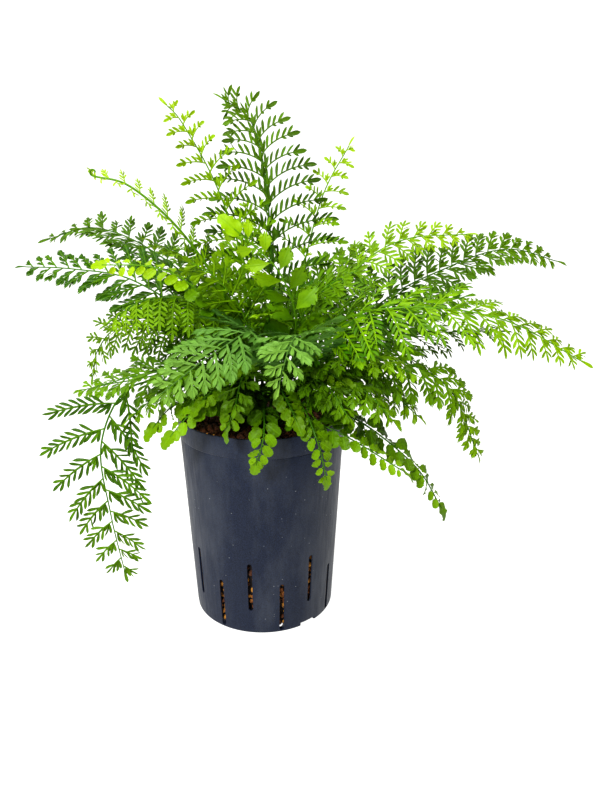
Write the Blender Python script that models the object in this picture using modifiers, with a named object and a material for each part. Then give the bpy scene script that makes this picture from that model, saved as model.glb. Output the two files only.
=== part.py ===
"""Potted fern: a slotted culture pot, clay granules, root plug, crown and arching fronds.

Frame: metres, +Z up, origin at the centre of the pot's foot, front of the plant toward -Y.
Every frond is one piece that starts on the crown. Its rachis follows a short hand-set route,
its leaflets follow a lanceolate outline, and each leaflet turns or shortens until it clears
its own neighbours and the fronds that were placed before it.
"""

import math
from dataclasses import dataclass

import bmesh
import bpy
import numpy as np
from mathutils import Vector
from mathutils.bvhtree import BVHTree

# --- Driving dimensions (metres, degrees) ------------------------------------------------
POT_HEIGHT = 0.190
RIM_RADIUS = 0.075
COLLAR_HEIGHT = 0.018
COLLAR_FLARE = 0.0008
COLLAR_STEP = 0.0008
FOOT_RADIUS = 0.0646
FOOT_EDGE = 0.0015
FOOT_RING = 0.0050
FLOOR_UNDERSIDE = 0.0045
PAD_RADIUS = 0.018
PAD_SLOPE = 0.003
WALL = 0.0015
POT_FACETS = 56

SLOT_COUNT = 15
SLOT_WIDTH = 0.0040
SLOT_LENGTH = 0.048
SLOT_PHASE = -176.0
HIGH_SLOT_BOTTOM = 0.0240
LOW_SLOT_BOTTOM = 0.0020
NOTCH_WIDTH = 0.017
NOTCH_HEIGHT = 0.0038
NOTCH_ANGLES = (40.0, 160.0, 280.0)

GAP = 0.0003
FILL_TOP = 0.182
PLUG_TOP_RADIUS = 0.046
PLUG_FOOT_RADIUS = 0.036
PLUG_FOOT = 0.050
FILL_FACETS = 30
FILL_RIPPLE = 0.0012

CROWN_BASE = 0.1802
CROWN_RADIUS = 0.024
CROWN_HEIGHT = 0.016

BLADE_THICKNESS = 0.0010
PETIOLE_WIDTH = 0.0022
TIP_WIDTH = 0.0010
CLEAR_HALF = 0.0009
LEAFLET_LIFTS = (0.0, 14.0, -14.0, 28.0, -28.0, 42.0, -42.0)
LEAFLET_REACHES = (1.0, 0.75, 0.5, 0.32)
CURL_RADIUS = 0.0030
CURL_TURN = 280.0


@dataclass(frozen=True)
class LeafKind:
    """How the leaflets of one kind of frond are set out along the rachis."""

    pitch: float
    belly: float
    spread_base: float
    spread_tip: float
    droop: float
    blunt: float


KINDS = {
    "fine": LeafKind(0.0190, 0.36, 68.0, 38.0, 0.10, 0.0),
    "lobed": LeafKind(0.0185, 0.42, 64.0, 40.0, 0.14, 0.0),
    "young": LeafKind(0.0170, 0.44, 66.0, 42.0, 0.10, 0.6),
}

# How far down the side of the crown each tier of fronds starts, 0 at its top.
TIER_POLAR = {
    "tall": 14.0,
    "unfurling": 30.0,
    "upper": 34.0,
    "arching": 52.0,
    "front": 66.0,
    "low": 74.0,
    "hanging": 78.0,
    "young": 87.0,
}


@dataclass(frozen=True)
class Frond:
    """One frond.

    The name's first word is its tier on the crown. Heading is the compass direction of its
    foot on the crown and of its upward face, roll turns the blade about the rachis, route
    is where the rachis passes (millimetres), width is the longest leaflet, and bare is the
    leafless share of the length.
    """

    name: str
    kind: str
    colour: str
    heading: float
    roll: float
    width: float
    bare: float
    route: tuple


FRONDS = (
    # Upright fronds from the top of the crown.
    Frond("tall_frond_1", "fine", "deep_green", 60, 30, 0.058, 0.36,
          ((10, 10, 290), (6, 20, 380), (-6, 26, 432), (-31, 30, 451))),
    Frond("tall_frond_2", "fine", "lime_green", 150, -50, 0.034, 0.42,
          ((-6, 0, 290), (-30, -10, 376), (-56, -15, 428), (-70, -15, 444))),
    Frond("tall_frond_3", "fine", "lime_green", 20, 50, 0.028, 0.42,
          ((30, 10, 286), (52, 20, 370), (76, 20, 416))),
    Frond("tall_frond_4", "lobed", "mid_green", 235, 20, 0.024, 0.40,
          ((-14, -26, 245), (-25, -38, 290), (-26, -44, 335))),
    Frond("tall_frond_5", "lobed", "mid_green", 110, 0, 0.036, 0.40,
          ((-14, 50, 270), (-20, 84, 330), (-16, 104, 362))),
    Frond("unfurling_frond_1", "fine", "lime_green", 212, -55, 0.024, 0.40,
          ((-24, -20, 284), (-56, -30, 344), (-94, -37, 382), (-123, -40, 391))),
    Frond("unfurling_frond_2", "fine", "lime_green", 75, 0, 0.014, 0.45,
          ((24, 60, 262), (34, 84, 300), (42, 100, 318))),
    # The upper ring, arching out above the rest.
    Frond("upper_frond_1", "young", "lime_green", 275, 0, 0.030, 0.42,
          ((30, -46, 268), (20, -68, 320), (-14, -74, 355))),
    Frond("upper_frond_2", "lobed", "lime_green", 182, -30, 0.030, 0.42,
          ((-25, -12, 278), (-55, -22, 322), (-87, -24, 341))),
    Frond("upper_frond_3", "fine", "lime_green", 355, 50, 0.034, 0.36,
          ((44, 8, 268), (88, 18, 317), (126, 20, 338), (180, 20, 342))),
    Frond("upper_frond_4", "lobed", "deep_green", 30, 35, 0.034, 0.40,
          ((30, 40, 262), (62, 56, 302), (100, 64, 326))),
    Frond("upper_frond_5", "fine", "mid_green", 135, 0, 0.040, 0.36,
          ((-40, 50, 276), (-84, 92, 318), (-124, 124, 320))),
    Frond("upper_frond_6", "young", "lime_green", 228, -50, 0.020, 0.50,
          ((-22, -38, 268), (-48, -52, 308), (-78, -54, 324), (-118, -54, 326))),
    Frond("upper_frond_7", "lobed", "mid_green", 308, 20, 0.030, 0.42,
          ((32, -26, 270), (54, -44, 306), (80, -52, 322))),
    Frond("upper_frond_8", "lobed", "lime_green", 244, -10, 0.030, 0.42,
          ((-8, -36, 272), (-26, -56, 312), (-48, -66, 330))),
    # The main ring of arching fronds.
    Frond("arching_frond_1", "fine", "deep_green", 157, -45, 0.040, 0.34,
          ((-50, 30, 282), (-102, 50, 326), (-154, 60, 344), (-198, 60, 333))),
    Frond("arching_frond_2", "lobed", "mid_green", 184, -40, 0.042, 0.34,
          ((-56, 0, 266), (-106, 0, 305), (-156, 0, 315), (-200, 0, 317))),
    Frond("arching_frond_3", "fine", "lime_green", 335, 25, 0.054, 0.26,
          ((60, -30, 270), (114, -55, 293), (188, -70, 287), (252, -80, 255))),
    Frond("arching_frond_4", "lobed", "deep_green", 14, 45, 0.042, 0.36,
          ((100, 30, 275), (170, 50, 310), (224, 58, 325), (274, 60, 313))),
    Frond("arching_frond_5", "lobed", "mid_green", 0, 35, 0.040, 0.34,
          ((60, 2, 246), (118, 2, 275), (178, 2, 292))),
    Frond("arching_frond_6", "lobed", "deep_green", 35, 20, 0.046, 0.34,
          ((90, 50, 234), (156, 80, 241), (240, 92, 240))),
    Frond("arching_frond_7", "lobed", "mid_green", 345, 30, 0.042, 0.30,
          ((68, -20, 250), (118, -30, 243), (159, -40, 221), (186, -45, 163))),
    Frond("arching_frond_8", "lobed", "mid_green", 212, -10, 0.052, 0.30,
          ((-22, -30, 276), (-54, -42, 296), (-88, -52, 298), (-118, -60, 280))),
    Frond("arching_frond_9", "fine", "deep_green", 170, -20, 0.042, 0.34,
          ((-46, 14, 244), (-92, 20, 262), (-138, 20, 264))),
    Frond("arching_frond_10", "fine", "deep_green", 60, 0, 0.050, 0.34,
          ((50, 80, 262), (84, 140, 284), (108, 190, 262))),
    Frond("arching_frond_11", "lobed", "mid_green", 92, 0, 0.048, 0.34,
          ((0, 80, 262), (-4, 150, 286), (-8, 208, 256))),
    Frond("arching_frond_12", "fine", "mid_green", 128, 0, 0.050, 0.34,
          ((-50, 74, 254), (-96, 130, 270), (-134, 172, 244))),
    # Fronds over the front of the pot.
    Frond("front_frond_1", "lobed", "grey_green", 270, -10, 0.044, 0.36,
          ((2, -62, 272), (-28, -98, 268), (-68, -120, 241))),
    Frond("front_frond_2", "lobed", "grey_green", 296, 0, 0.036, 0.42,
          ((32, -84, 272), (27, -120, 278), (19, -140, 253))),
    Frond("front_frond_3", "lobed", "mid_green", 225, 0, 0.034, 0.36,
          ((-36, -40, 234), (-80, -60, 242), (-130, -60, 230))),
    Frond("front_frond_4", "lobed", "mid_green", 315, 10, 0.036, 0.34,
          ((50, -40, 240), (88, -64, 256), (124, -76, 244))),
    Frond("front_frond_5", "lobed", "deep_green", 256, 0, 0.034, 0.36,
          ((-4, -50, 236), (-10, -84, 244), (-14, -110, 228))),
    Frond("front_frond_6", "lobed", "mid_green", 304, 0, 0.034, 0.34,
          ((32, -44, 230), (54, -76, 236), (72, -98, 216))),
    Frond("front_frond_7", "lobed", "mid_green", 214, 0, 0.032, 0.34,
          ((-38, -28, 222), (-74, -50, 224), (-104, -66, 204))),
    Frond("front_frond_8", "fine", "mid_green", 280, 0, 0.030, 0.42,
          ((8, -36, 262), (10, -62, 288), (4, -84, 292))),
    # Low and hanging fronds that pass over the rim.
    Frond("hanging_frond_1", "fine", "mid_green", 200, -70, 0.052, 0.43,
          ((-60, -30, 222), (-104, -55, 227), (-128, -65, 182), (-124, -70, 122), (-116, -70, 64))),
    Frond("hanging_frond_2", "fine", "deep_green", 155, -40, 0.032, 0.38,
          ((-72, 34, 250), (-130, 44, 256), (-156, 48, 233), (-164, 48, 204))),
    Frond("low_frond_1", "lobed", "mid_green", 184, -30, 0.032, 0.42,
          ((-62, -8, 224), (-117, -20, 222), (-155, -20, 214))),
    Frond("low_frond_2", "fine", "deep_green", 20, 20, 0.022, 0.46,
          ((60, 22, 216), (98, 34, 206), (117, 36, 168))),
    Frond("low_frond_4", "lobed", "mid_green", 340, 15, 0.034, 0.36,
          ((56, -20, 226), (100, -34, 224), (136, -42, 196))),
    Frond("low_frond_5", "lobed", "mid_green", 324, 10, 0.034, 0.36,
          ((46, -44, 230), (80, -74, 234), (108, -92, 210))),
    Frond("low_frond_3", "lobed", "mid_green", 100, 0, 0.040, 0.36,
          ((-10, 70, 222), (-20, 120, 222), (-26, 158, 180))),
    # Young fronds with rounded leaflets, low around the foot.
    Frond("young_frond_1", "young", "deep_green", 332, 10, 0.024, 0.40,
          ((43, -40, 204), (79, -68, 205), (125, -84, 172), (148, -90, 137))),
    Frond("young_frond_2", "young", "mid_green", 302, 0, 0.022, 0.36,
          ((34, -62, 204), (70, -88, 198), (115, -102, 174))),
    Frond("young_frond_3", "young", "mid_green", 272, 0, 0.022, 0.40,
          ((5, -62, 212), (6, -92, 199), (0, -94, 176))),
    Frond("young_frond_4", "young", "mid_green", 288, 0, 0.020, 0.46,
          ((32, -68, 218), (47, -96, 199), (55, -98, 165))),
    Frond("young_frond_5", "young", "mid_green", 228, 0, 0.026, 0.36,
          ((-27, -52, 217), (-50, -77, 214), (-68, -84, 196))),
    Frond("young_frond_6", "young", "deep_green", 258, 0, 0.026, 0.36,
          ((-10, -50, 220), (-15, -75, 222), (-22, -90, 206))),
    Frond("young_frond_7", "young", "deep_green", 40, 0, 0.026, 0.36,
          ((52, 46, 216), (84, 74, 200), (96, 86, 172))),
    Frond("young_frond_8", "young", "mid_green", 140, 0, 0.026, 0.36,
          ((-50, 42, 216), (-80, 70, 204), (-96, 86, 178))),
    Frond("young_frond_9", "young", "mid_green", 243, 0, 0.026, 0.36,
          ((-18, -46, 222), (-34, -64, 228), (-44, -80, 222))),
    Frond("young_frond_10", "young", "deep_green", 280, 0, 0.024, 0.40,
          ((14, -50, 226), (24, -78, 224), (32, -94, 212))),
    Frond("young_frond_11", "young", "mid_green", 317, 0, 0.024, 0.40,
          ((46, -42, 216), (70, -64, 212), (88, -78, 192))),
    Frond("young_frond_12", "young", "mid_green", 213, 0, 0.026, 0.38,
          ((-44, -30, 211), (-70, -50, 210), (-86, -62, 195))),
    Frond("young_frond_13", "young", "deep_green", 266, 0, 0.026, 0.38,
          ((-3, -46, 240), (-12, -66, 250), (-26, -84, 246))),
    Frond("young_frond_14", "young", "mid_green", 310, 0, 0.026, 0.38,
          ((34, -38, 238), (52, -58, 244), (70, -74, 236))),
)


def clear_scene():
    """Remove every object and its data so the part starts from an empty scene."""
    for item in list(bpy.data.objects):
        bpy.data.objects.remove(item, do_unlink=True)
    for group in list(bpy.data.collections):
        bpy.data.collections.remove(group)


def material(name, colour, roughness):
    """Return a plain Principled material."""
    shade = bpy.data.materials.new(name)
    shade.use_nodes = True
    shader = shade.node_tree.nodes["Principled BSDF"]
    shader.inputs["Base Color"].default_value = (*colour, 1.0)
    shader.inputs["Roughness"].default_value = roughness
    shader.inputs["Metallic"].default_value = 0.0
    return shade


def collection(name):
    """Return a new collection under the scene."""
    group = bpy.data.collections.new(name)
    bpy.context.scene.collection.children.link(group)
    return group


def place(name, mesh, group, shade=None):
    """Link a mesh as an object in a collection, with its material."""
    item = bpy.data.objects.new(name, mesh)
    group.objects.link(item)
    if shade is not None:
        mesh.materials.append(shade)
    return item


def smooth(mesh, angle=40.0):
    """Shade a round piece smooth, with sharp edges above an angle."""
    mesh.shade_smooth()
    mesh.set_sharp_from_angle(angle=math.radians(angle))


def turned(name, profile, steps, group, shade):
    """Turn a profile of (radius, height) points about Z with a Screw modifier.

    The profile starts on the axis inside, and runs down the outer side.
    """
    mesh = bpy.data.meshes.new(name)
    points = [(radius, 0.0, height) for radius, height in profile]
    edges = [(index, index + 1) for index in range(len(points) - 1)]
    mesh.from_pydata(points, edges, [])
    item = place(name, mesh, group, shade)
    screw = item.modifiers.new("Turn", "SCREW")
    screw.steps = steps
    screw.render_steps = steps
    screw.use_merge_vertices = True
    screw.merge_threshold = 0.00005
    screw.use_smooth_shade = True
    return item


def applied(item):
    """Replace an object's mesh by its evaluated mesh and drop its modifiers."""
    depsgraph = bpy.context.evaluated_depsgraph_get()
    mesh = bpy.data.meshes.new_from_object(item.evaluated_get(depsgraph))
    item.modifiers.clear()
    item.data = mesh
    return item


def body_radius(height):
    """Outer radius of the pot's tapered body at a height."""
    top = RIM_RADIUS - COLLAR_FLARE - COLLAR_STEP
    share = height / (POT_HEIGHT - COLLAR_HEIGHT)
    return FOOT_RADIUS + (top - FOOT_RADIUS) * share


def pot_profile():
    """Profile of the pot: dished floor, inner wall, lip, collar, body, foot ring, centre pad."""
    collar = POT_HEIGHT - COLLAR_HEIGHT
    floor = FLOOR_UNDERSIDE + WALL
    foot_inner = FOOT_RADIUS - FOOT_RING
    return (
        (0.0, WALL),
        (PAD_RADIUS, WALL),
        (PAD_RADIUS + PAD_SLOPE, floor),
        (body_radius(floor) - WALL, floor),
        (body_radius(collar) - WALL, collar - 0.002),
        (RIM_RADIUS - WALL, collar + 0.002),
        (RIM_RADIUS - WALL, POT_HEIGHT - 0.0006),
        (RIM_RADIUS - WALL + 0.0005, POT_HEIGHT),
        (RIM_RADIUS - 0.0004, POT_HEIGHT),
        (RIM_RADIUS, POT_HEIGHT - 0.0006),
        (RIM_RADIUS - COLLAR_FLARE, collar + 0.0004),
        (RIM_RADIUS - COLLAR_FLARE - 0.0004, collar),
        (body_radius(collar), collar),
        (body_radius(0.095), 0.095),
        (body_radius(FOOT_EDGE), FOOT_EDGE),
        (FOOT_RADIUS - 0.3 * FOOT_EDGE, 0.3 * FOOT_EDGE),
        (FOOT_RADIUS - FOOT_EDGE, 0.0),
        (foot_inner, 0.0),
        (foot_inner, FLOOR_UNDERSIDE),
        (PAD_RADIUS + PAD_SLOPE + WALL, FLOOR_UNDERSIDE),
        (PAD_RADIUS + WALL, 0.0),
        (0.0, 0.0),
    )


def slot_cutter(name, bottom, angle, group):
    """A radial rounded slot: a box with half cylinders at its ends, as one outline extruded."""
    radius = SLOT_WIDTH / 2.0
    outline = []
    for centre, start in ((bottom + SLOT_LENGTH - radius, 0.0), (bottom + radius, 180.0)):
        for step in range(5):
            turn = math.radians(start + 45.0 * step)
            outline.append((radius * math.cos(turn), centre + radius * math.sin(turn)))
    mesh = bpy.data.meshes.new(name)
    build = bmesh.new()
    ring = [build.verts.new((side, -0.5 * FOOT_RADIUS, height)) for side, height in outline]
    face = build.faces.new(ring)
    result = bmesh.ops.extrude_face_region(build, geom=[face])
    moved = [item for item in result["geom"] if isinstance(item, bmesh.types.BMVert)]
    bmesh.ops.translate(build, verts=moved, vec=(0.0, -FOOT_RADIUS, 0.0))
    bmesh.ops.recalc_face_normals(build, faces=build.faces)
    build.to_mesh(mesh)
    build.free()
    item = place(name, mesh, group)
    item.rotation_euler = (0.0, 0.0, math.radians(angle))
    return item


def notch_cutter(name, angle, group):
    """A block that cuts a drain notch up into the foot ring."""
    mesh = bpy.data.meshes.new(name)
    build = bmesh.new()
    bmesh.ops.create_cube(build, size=1.0)
    bmesh.ops.scale(build, verts=build.verts, vec=(NOTCH_WIDTH, 0.020, 2.0 * NOTCH_HEIGHT))
    bmesh.ops.translate(build, verts=build.verts, vec=(0.0, -FOOT_RADIUS, 0.0))
    build.to_mesh(mesh)
    build.free()
    item = place(name, mesh, group)
    item.rotation_euler = (0.0, 0.0, math.radians(angle))
    return item


def build_pot(parts, cutters):
    """The culture pot, with its slots and foot notches cut."""
    shade = material("pot_plastic", (0.030, 0.038, 0.055), 0.48)
    pot = turned("culture_pot", pot_profile(), POT_FACETS, parts, shade)
    tools = []
    for index in range(SLOT_COUNT):
        bottom = HIGH_SLOT_BOTTOM if index % 2 else LOW_SLOT_BOTTOM
        angle = SLOT_PHASE + index * 360.0 / SLOT_COUNT
        tools.append(slot_cutter(f"slot_cutter_{index + 1}", bottom, angle, cutters))
    for index, angle in enumerate(NOTCH_ANGLES):
        tools.append(notch_cutter(f"notch_cutter_{index + 1}", angle, cutters))
    for tool in tools:
        tool.hide_render = True
        tool.display_type = "WIRE"
        cut = pot.modifiers.new(tool.name, "BOOLEAN")
        cut.operation = "DIFFERENCE"
        cut.solver = "EXACT"
        cut.object = tool
    bpy.context.view_layer.update()
    applied(pot)
    smooth(pot.data, 35.0)
    return pot


def ripple(item, top, foot_radius, height):
    """Lift and sink the upper surface of a turned fill so that it is not flat."""
    for vertex in item.data.vertices:
        radius = math.hypot(vertex.co.x, vertex.co.y)
        if vertex.co.z > top - 0.001 and radius > foot_radius:
            angle = math.atan2(vertex.co.y, vertex.co.x)
            wave = math.sin(9.0 * angle) + math.sin(17.0 * angle + radius * 400.0)
            vertex.co.z += 0.5 * height * wave
    item.data.update()


def build_fill(parts):
    """Clay granules: a cup of loose fill between the pot wall and the root plug."""
    shade = material("clay_granules", (0.20, 0.085, 0.030), 0.85)
    floor = FLOOR_UNDERSIDE + WALL + GAP
    collar = POT_HEIGHT - COLLAR_HEIGHT
    top_radius = body_radius(collar) - WALL - GAP
    profile = (
        (0.0, PLUG_FOOT - GAP),
        (PLUG_FOOT_RADIUS + GAP, PLUG_FOOT - GAP),
        (PLUG_TOP_RADIUS + GAP, FILL_TOP - 0.0035),
        (PLUG_TOP_RADIUS + 0.004, FILL_TOP - 0.0010),
        (0.5 * (PLUG_TOP_RADIUS + top_radius), FILL_TOP),
        (top_radius - 0.006, FILL_TOP - 0.0010),
        (top_radius, FILL_TOP - 0.0030),
        (top_radius, collar - 0.003),
        (body_radius(0.095) - WALL - GAP, 0.095),
        (body_radius(floor) - WALL - GAP, floor),
        (PAD_RADIUS + PAD_SLOPE - GAP, floor),
        (PAD_RADIUS - 2.0 * GAP, WALL + GAP),
        (0.0, WALL + GAP),
    )
    fill = applied(turned("clay_granules", profile, FILL_FACETS, parts, shade))
    ripple(fill, FILL_TOP - 0.0015, PLUG_TOP_RADIUS + 0.002, FILL_RIPPLE)
    smooth(fill.data)
    return fill


def build_plug(parts):
    """Root plug: the rooted peat plug that the granules hold upright."""
    shade = material("root_plug", (0.035, 0.020, 0.010), 0.90)
    top = CROWN_BASE - GAP
    profile = (
        (0.0, top),
        (CROWN_RADIUS + 0.004, top),
        (PLUG_TOP_RADIUS - 0.004, FILL_TOP - 0.0035),
        (PLUG_TOP_RADIUS, FILL_TOP - 0.0045),
        (PLUG_FOOT_RADIUS, PLUG_FOOT + 0.001),
        (PLUG_FOOT_RADIUS - 0.001, PLUG_FOOT),
        (0.0, PLUG_FOOT),
    )
    plug = applied(turned("root_plug", profile, FILL_FACETS, parts, shade))
    smooth(plug.data)
    return plug


def build_crown(parts):
    """Crown: the low scaly dome that every frond grows from."""
    shade = material("crown_scales", (0.060, 0.040, 0.018), 0.80)
    profile = []
    for step in range(6):
        polar = math.radians(18.0 * step)
        profile.append((CROWN_RADIUS * math.sin(polar), CROWN_BASE + CROWN_HEIGHT * math.cos(polar)))
    profile.append((0.0, CROWN_BASE))
    crown = applied(turned("crown", profile, 18, parts, shade))
    smooth(crown.data)
    return crown


def crown_point(heading, polar, gap):
    """Point just off the crown's surface at a heading and a polar angle, both in degrees."""
    turn = math.radians(heading)
    down = math.radians(polar)
    out = CROWN_RADIUS * math.sin(down) + gap
    return Vector((out * math.cos(turn), out * math.sin(turn),
                   CROWN_BASE + CROWN_HEIGHT * math.cos(down) + gap))


def curl(points):
    """Extend a route by the open coil of a tip that has not unfurled."""
    along = (points[-1] - points[-2]).normalized()
    side = along.cross(Vector((0.0, 1.0, 0.0))).normalized()
    upward = side if side.z > 0.0 else -side
    coil = []
    count = 12
    centre = points[-1] + upward * CURL_RADIUS
    for step in range(1, count + 1):
        turn = math.radians(CURL_TURN) * step / count
        radius = CURL_RADIUS * (1.0 - 0.45 * step / count)
        coil.append(centre + radius * (along * math.sin(turn) - upward * math.cos(turn)))
    return points + coil


def spline(points, samples=14):
    """Catmull-Rom curve through the route's points."""
    ends = [points[0] * 2.0 - points[1]] + points + [points[-1] * 2.0 - points[-2]]
    path = []
    for index in range(len(points) - 1):
        before, start, stop, after = ends[index:index + 4]
        for step in range(samples):
            t = step / samples
            path.append(0.5 * ((2.0 * start) + (stop - before) * t
                               + (2.0 * before - 5.0 * start + 4.0 * stop - after) * t ** 2
                               + (3.0 * start - before - 3.0 * stop + after) * t ** 3))
    path.append(points[-1])
    return path


def at_length(path, lengths, wanted):
    """Point on a sampled path at a distance from its start."""
    xyz = [np.interp(wanted, lengths, [point[axis] for point in path]) for axis in range(3)]
    return Vector(xyz)


class Blade:
    """The stations, frames and leaflets of one frond."""

    def __init__(self, frond):
        self.frond = frond
        self.kind = KINDS[frond.kind]
        tier = frond.name.split("_")[0]
        foot = crown_point(frond.heading, TIER_POLAR[tier], 1.5 * GAP)
        route = [foot] + [Vector(point) / 1000.0 for point in frond.route]
        path = spline(route)
        if tier == "unfurling":
            path = curl(path)
        steps = [(b - a).length for a, b in zip(path, path[1:])]
        self.path = path
        self.lengths = np.concatenate(([0.0], np.cumsum(steps)))
        self.length = float(self.lengths[-1])
        self.stations = self.make_stations()
        self.frames = [self.frame(distance) for distance in self.stations]

    def make_stations(self):
        """Distances of the stations: a few on the bare stalk, then one per leaflet pair."""
        bare = self.frond.bare * self.length
        stalk = max(2, round(bare / 0.030))
        pairs = max(3, round((self.length - bare) / self.kind.pitch))
        stations = [bare * step / stalk for step in range(stalk)]
        stations += [bare + (self.length - bare) * step / pairs for step in range(pairs + 1)]
        self.first_pair = stalk
        return stations

    def frame(self, distance):
        """Origin, tangent, side and normal at a distance along the rachis."""
        reach = 0.004
        origin = at_length(self.path, self.lengths, distance)
        ahead = at_length(self.path, self.lengths, min(distance + reach, self.length))
        behind = at_length(self.path, self.lengths, max(distance - reach, 0.0))
        tangent = (ahead - behind).normalized()
        turn = math.radians(self.frond.heading)
        level = Vector((-math.sin(turn), math.cos(turn), 0.0))
        side = (level - tangent * level.dot(tangent)).normalized()
        normal = tangent.cross(side)
        roll = math.radians(self.frond.roll)
        rolled = side * math.cos(roll) + normal * math.sin(roll)
        return origin, tangent, rolled, tangent.cross(rolled)

    def half_width(self, index):
        """Half the rachis width at a station."""
        share = self.stations[index] / self.length
        return 0.5 * (PETIOLE_WIDTH + (TIP_WIDTH - PETIOLE_WIDTH) * share)

    def edge(self, index, side):
        """Edge point of the rachis at a station, on one side."""
        origin, _, across, _ = self.frames[index]
        return origin + across * side * self.half_width(index)

    def outline(self, share):
        """Relative leaflet length along the blade, lanceolate with a short base."""
        return (0.62 + 0.38 * min(1.0, share / 0.22)) * (1.0 - share) ** 0.62 + 0.10

    def leaflet(self, index, side, lift, reach):
        """Corner points of one leaflet beyond its base edge: shoulders and tip."""
        blade = self.length * (1.0 - self.frond.bare)
        start, stop = self.stations[index], self.stations[index + 1]
        share = (0.5 * (start + stop) - self.frond.bare * self.length) / blade
        size = self.frond.width * self.outline(share) * reach
        origin = 0.5 * (self.edge(index, side) + self.edge(index + 1, side))
        _, tangent, across, normal = self.frames[index]
        spread = math.radians(self.kind.spread_base
                              + (self.kind.spread_tip - self.kind.spread_base) * share)
        axis = tangent * math.cos(spread) + across * side * math.sin(spread)
        raised = math.radians(lift)
        axis = axis * math.cos(raised) + normal * math.sin(raised)
        cross = tangent - axis * tangent.dot(axis)
        cross.normalize()
        belly = min(self.kind.belly * (stop - start), 0.42 * size) * math.sin(spread)
        middle = origin + axis * size * 0.48 - normal * size * self.kind.droop * 0.23
        tip = origin + axis * size - normal * size * self.kind.droop
        points = [middle - cross * belly, middle + cross * belly]
        if self.kind.blunt > 0.0:
            points += [tip - cross * belly * self.kind.blunt, tip + cross * belly * self.kind.blunt]
        else:
            points.append(tip)
        return points


def slab(rows, normal):
    """Closed prism around a strip given as rows of points, for clearance tests."""
    points = []
    for row in rows:
        for point in row:
            points.append(point + normal * CLEAR_HALF)
            points.append(point - normal * CLEAR_HALF)
    loop = [0]
    index = 0
    left, right = [], []
    for row in rows:
        left.append(index)
        right.append(index + 2 * (len(row) - 1))
        index += 2 * len(row)
    loop = left + [item for item in reversed(right) if item not in left]
    top = list(loop)
    bottom = [item + 1 for item in reversed(loop)]
    faces = [top, bottom]
    for first, second in zip(loop, loop[1:] + loop[:1]):
        faces.append([first, first + 1, second + 1, second])
    return points, faces


def join(solids):
    """One BVH tree over many (points, faces) solids."""
    points, faces = [], []
    for solid_points, solid_faces in solids:
        base = len(points)
        points += solid_points
        faces += [[base + corner for corner in face] for face in solid_faces]
    return BVHTree.FromPolygons(points, faces)


def meets_pot(point):
    """Whether a point is too near the pot or under the surface of its fill."""
    radius = math.hypot(point.x, point.y)
    if point.z < 0.001:
        return True
    if radius < RIM_RADIUS + 0.003 and point.z < POT_HEIGHT + 0.0025:
        return radius > RIM_RADIUS - 0.006 or point.z < FILL_TOP + 0.003
    return False


def stalk_solids(blade):
    """Clearance prisms around a frond's rachis, one per stretch between stations."""
    solids = []
    for index in range(len(blade.stations) - 1):
        rows = [[blade.edge(index, -1), blade.edge(index, 1)],
                [blade.edge(index + 1, -1), blade.edge(index + 1, 1)]]
        solids.append(slab(rows, blade.frames[index][3]))
    return solids


def grow_leaflets(blade, occupied):
    """Choose every leaflet of a frond so that it clears the rest and its own neighbours."""
    chosen = {}
    solids = []
    outer = []
    stalk = stalk_solids(blade)
    for index in range(blade.first_pair, len(blade.stations) - 1):
        for side in (-1, 1):
            base = [blade.edge(index, side), blade.edge(index + 1, side)]
            for reach in LEAFLET_REACHES:
                for lift in LEAFLET_LIFTS:
                    points = blade.leaflet(index, side, lift, reach)
                    if any(meets_pot(point) for point in points):
                        continue
                    rows = [base, points[:2], points[2:]]
                    solid = slab(rows, blade.frames[index][3])
                    if join([solid]).overlap(occupied):
                        continue
                    root = [low.lerp(high, 0.3) for low, high in zip(base, points)]
                    beyond = slab([root] + rows[1:], blade.frames[index][3])
                    own = outer + stalk[:max(0, index - 1)] + stalk[index + 2:]
                    if join([beyond]).overlap(join(own)):
                        continue
                    chosen[(index, side)] = points
                    solids.append(solid)
                    outer.append(beyond)
                    break
                if (index, side) in chosen:
                    break
    return chosen, solids


def build_frond(blade, leaflets, parts, shade):
    """Model one frond: a rachis strip, leaflets drawn out of its edges, then thickness."""
    build = bmesh.new()
    rows = []
    for index in range(len(blade.stations)):
        rows.append([build.verts.new(blade.edge(index, side)) for side in (-1, 1)])
    for low, high in zip(rows, rows[1:]):
        build.faces.new((low[0], low[1], high[1], high[0]))
    for (index, side), points in leaflets.items():
        column = 0 if side < 0 else 1
        near, far = rows[index][column], rows[index + 1][column]
        fresh = [build.verts.new(point) for point in points]
        faces = [(near, far, fresh[1], fresh[0])]
        faces.append((fresh[0], fresh[1], *reversed(fresh[2:])))
        for face in faces:
            build.faces.new(face if side < 0 else tuple(reversed(face)))
    bmesh.ops.recalc_face_normals(build, faces=build.faces)
    mesh = bpy.data.meshes.new(blade.frond.name)
    build.to_mesh(mesh)
    build.free()
    item = place(blade.frond.name, mesh, parts, shade)
    thick = item.modifiers.new("Thickness", "SOLIDIFY")
    thick.thickness = BLADE_THICKNESS
    thick.offset = 0.0
    return item


def build_fronds(parts):
    """Grow every frond: all the stalks are placed first, then the leaflets one by one."""
    shades = {
        "deep_green": material("deep_green_leaf", (0.045, 0.150, 0.018), 0.45),
        "mid_green": material("mid_green_leaf", (0.085, 0.255, 0.020), 0.45),
        "grey_green": material("grey_green_leaf", (0.160, 0.330, 0.095), 0.50),
        "lime_green": material("lime_green_leaf", (0.280, 0.520, 0.030), 0.45),
    }
    blades = [Blade(frond) for frond in FRONDS]
    stalks = [stalk_solids(blade) for blade in blades]
    grown = []
    for number, blade in enumerate(blades):
        others = [solid for index, solids in enumerate(stalks) if index != number
                  for solid in solids]
        leaflets, solids = grow_leaflets(blade, join(others + grown))
        grown += solids
        build_frond(blade, leaflets, parts, shades[blade.frond.colour])


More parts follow.
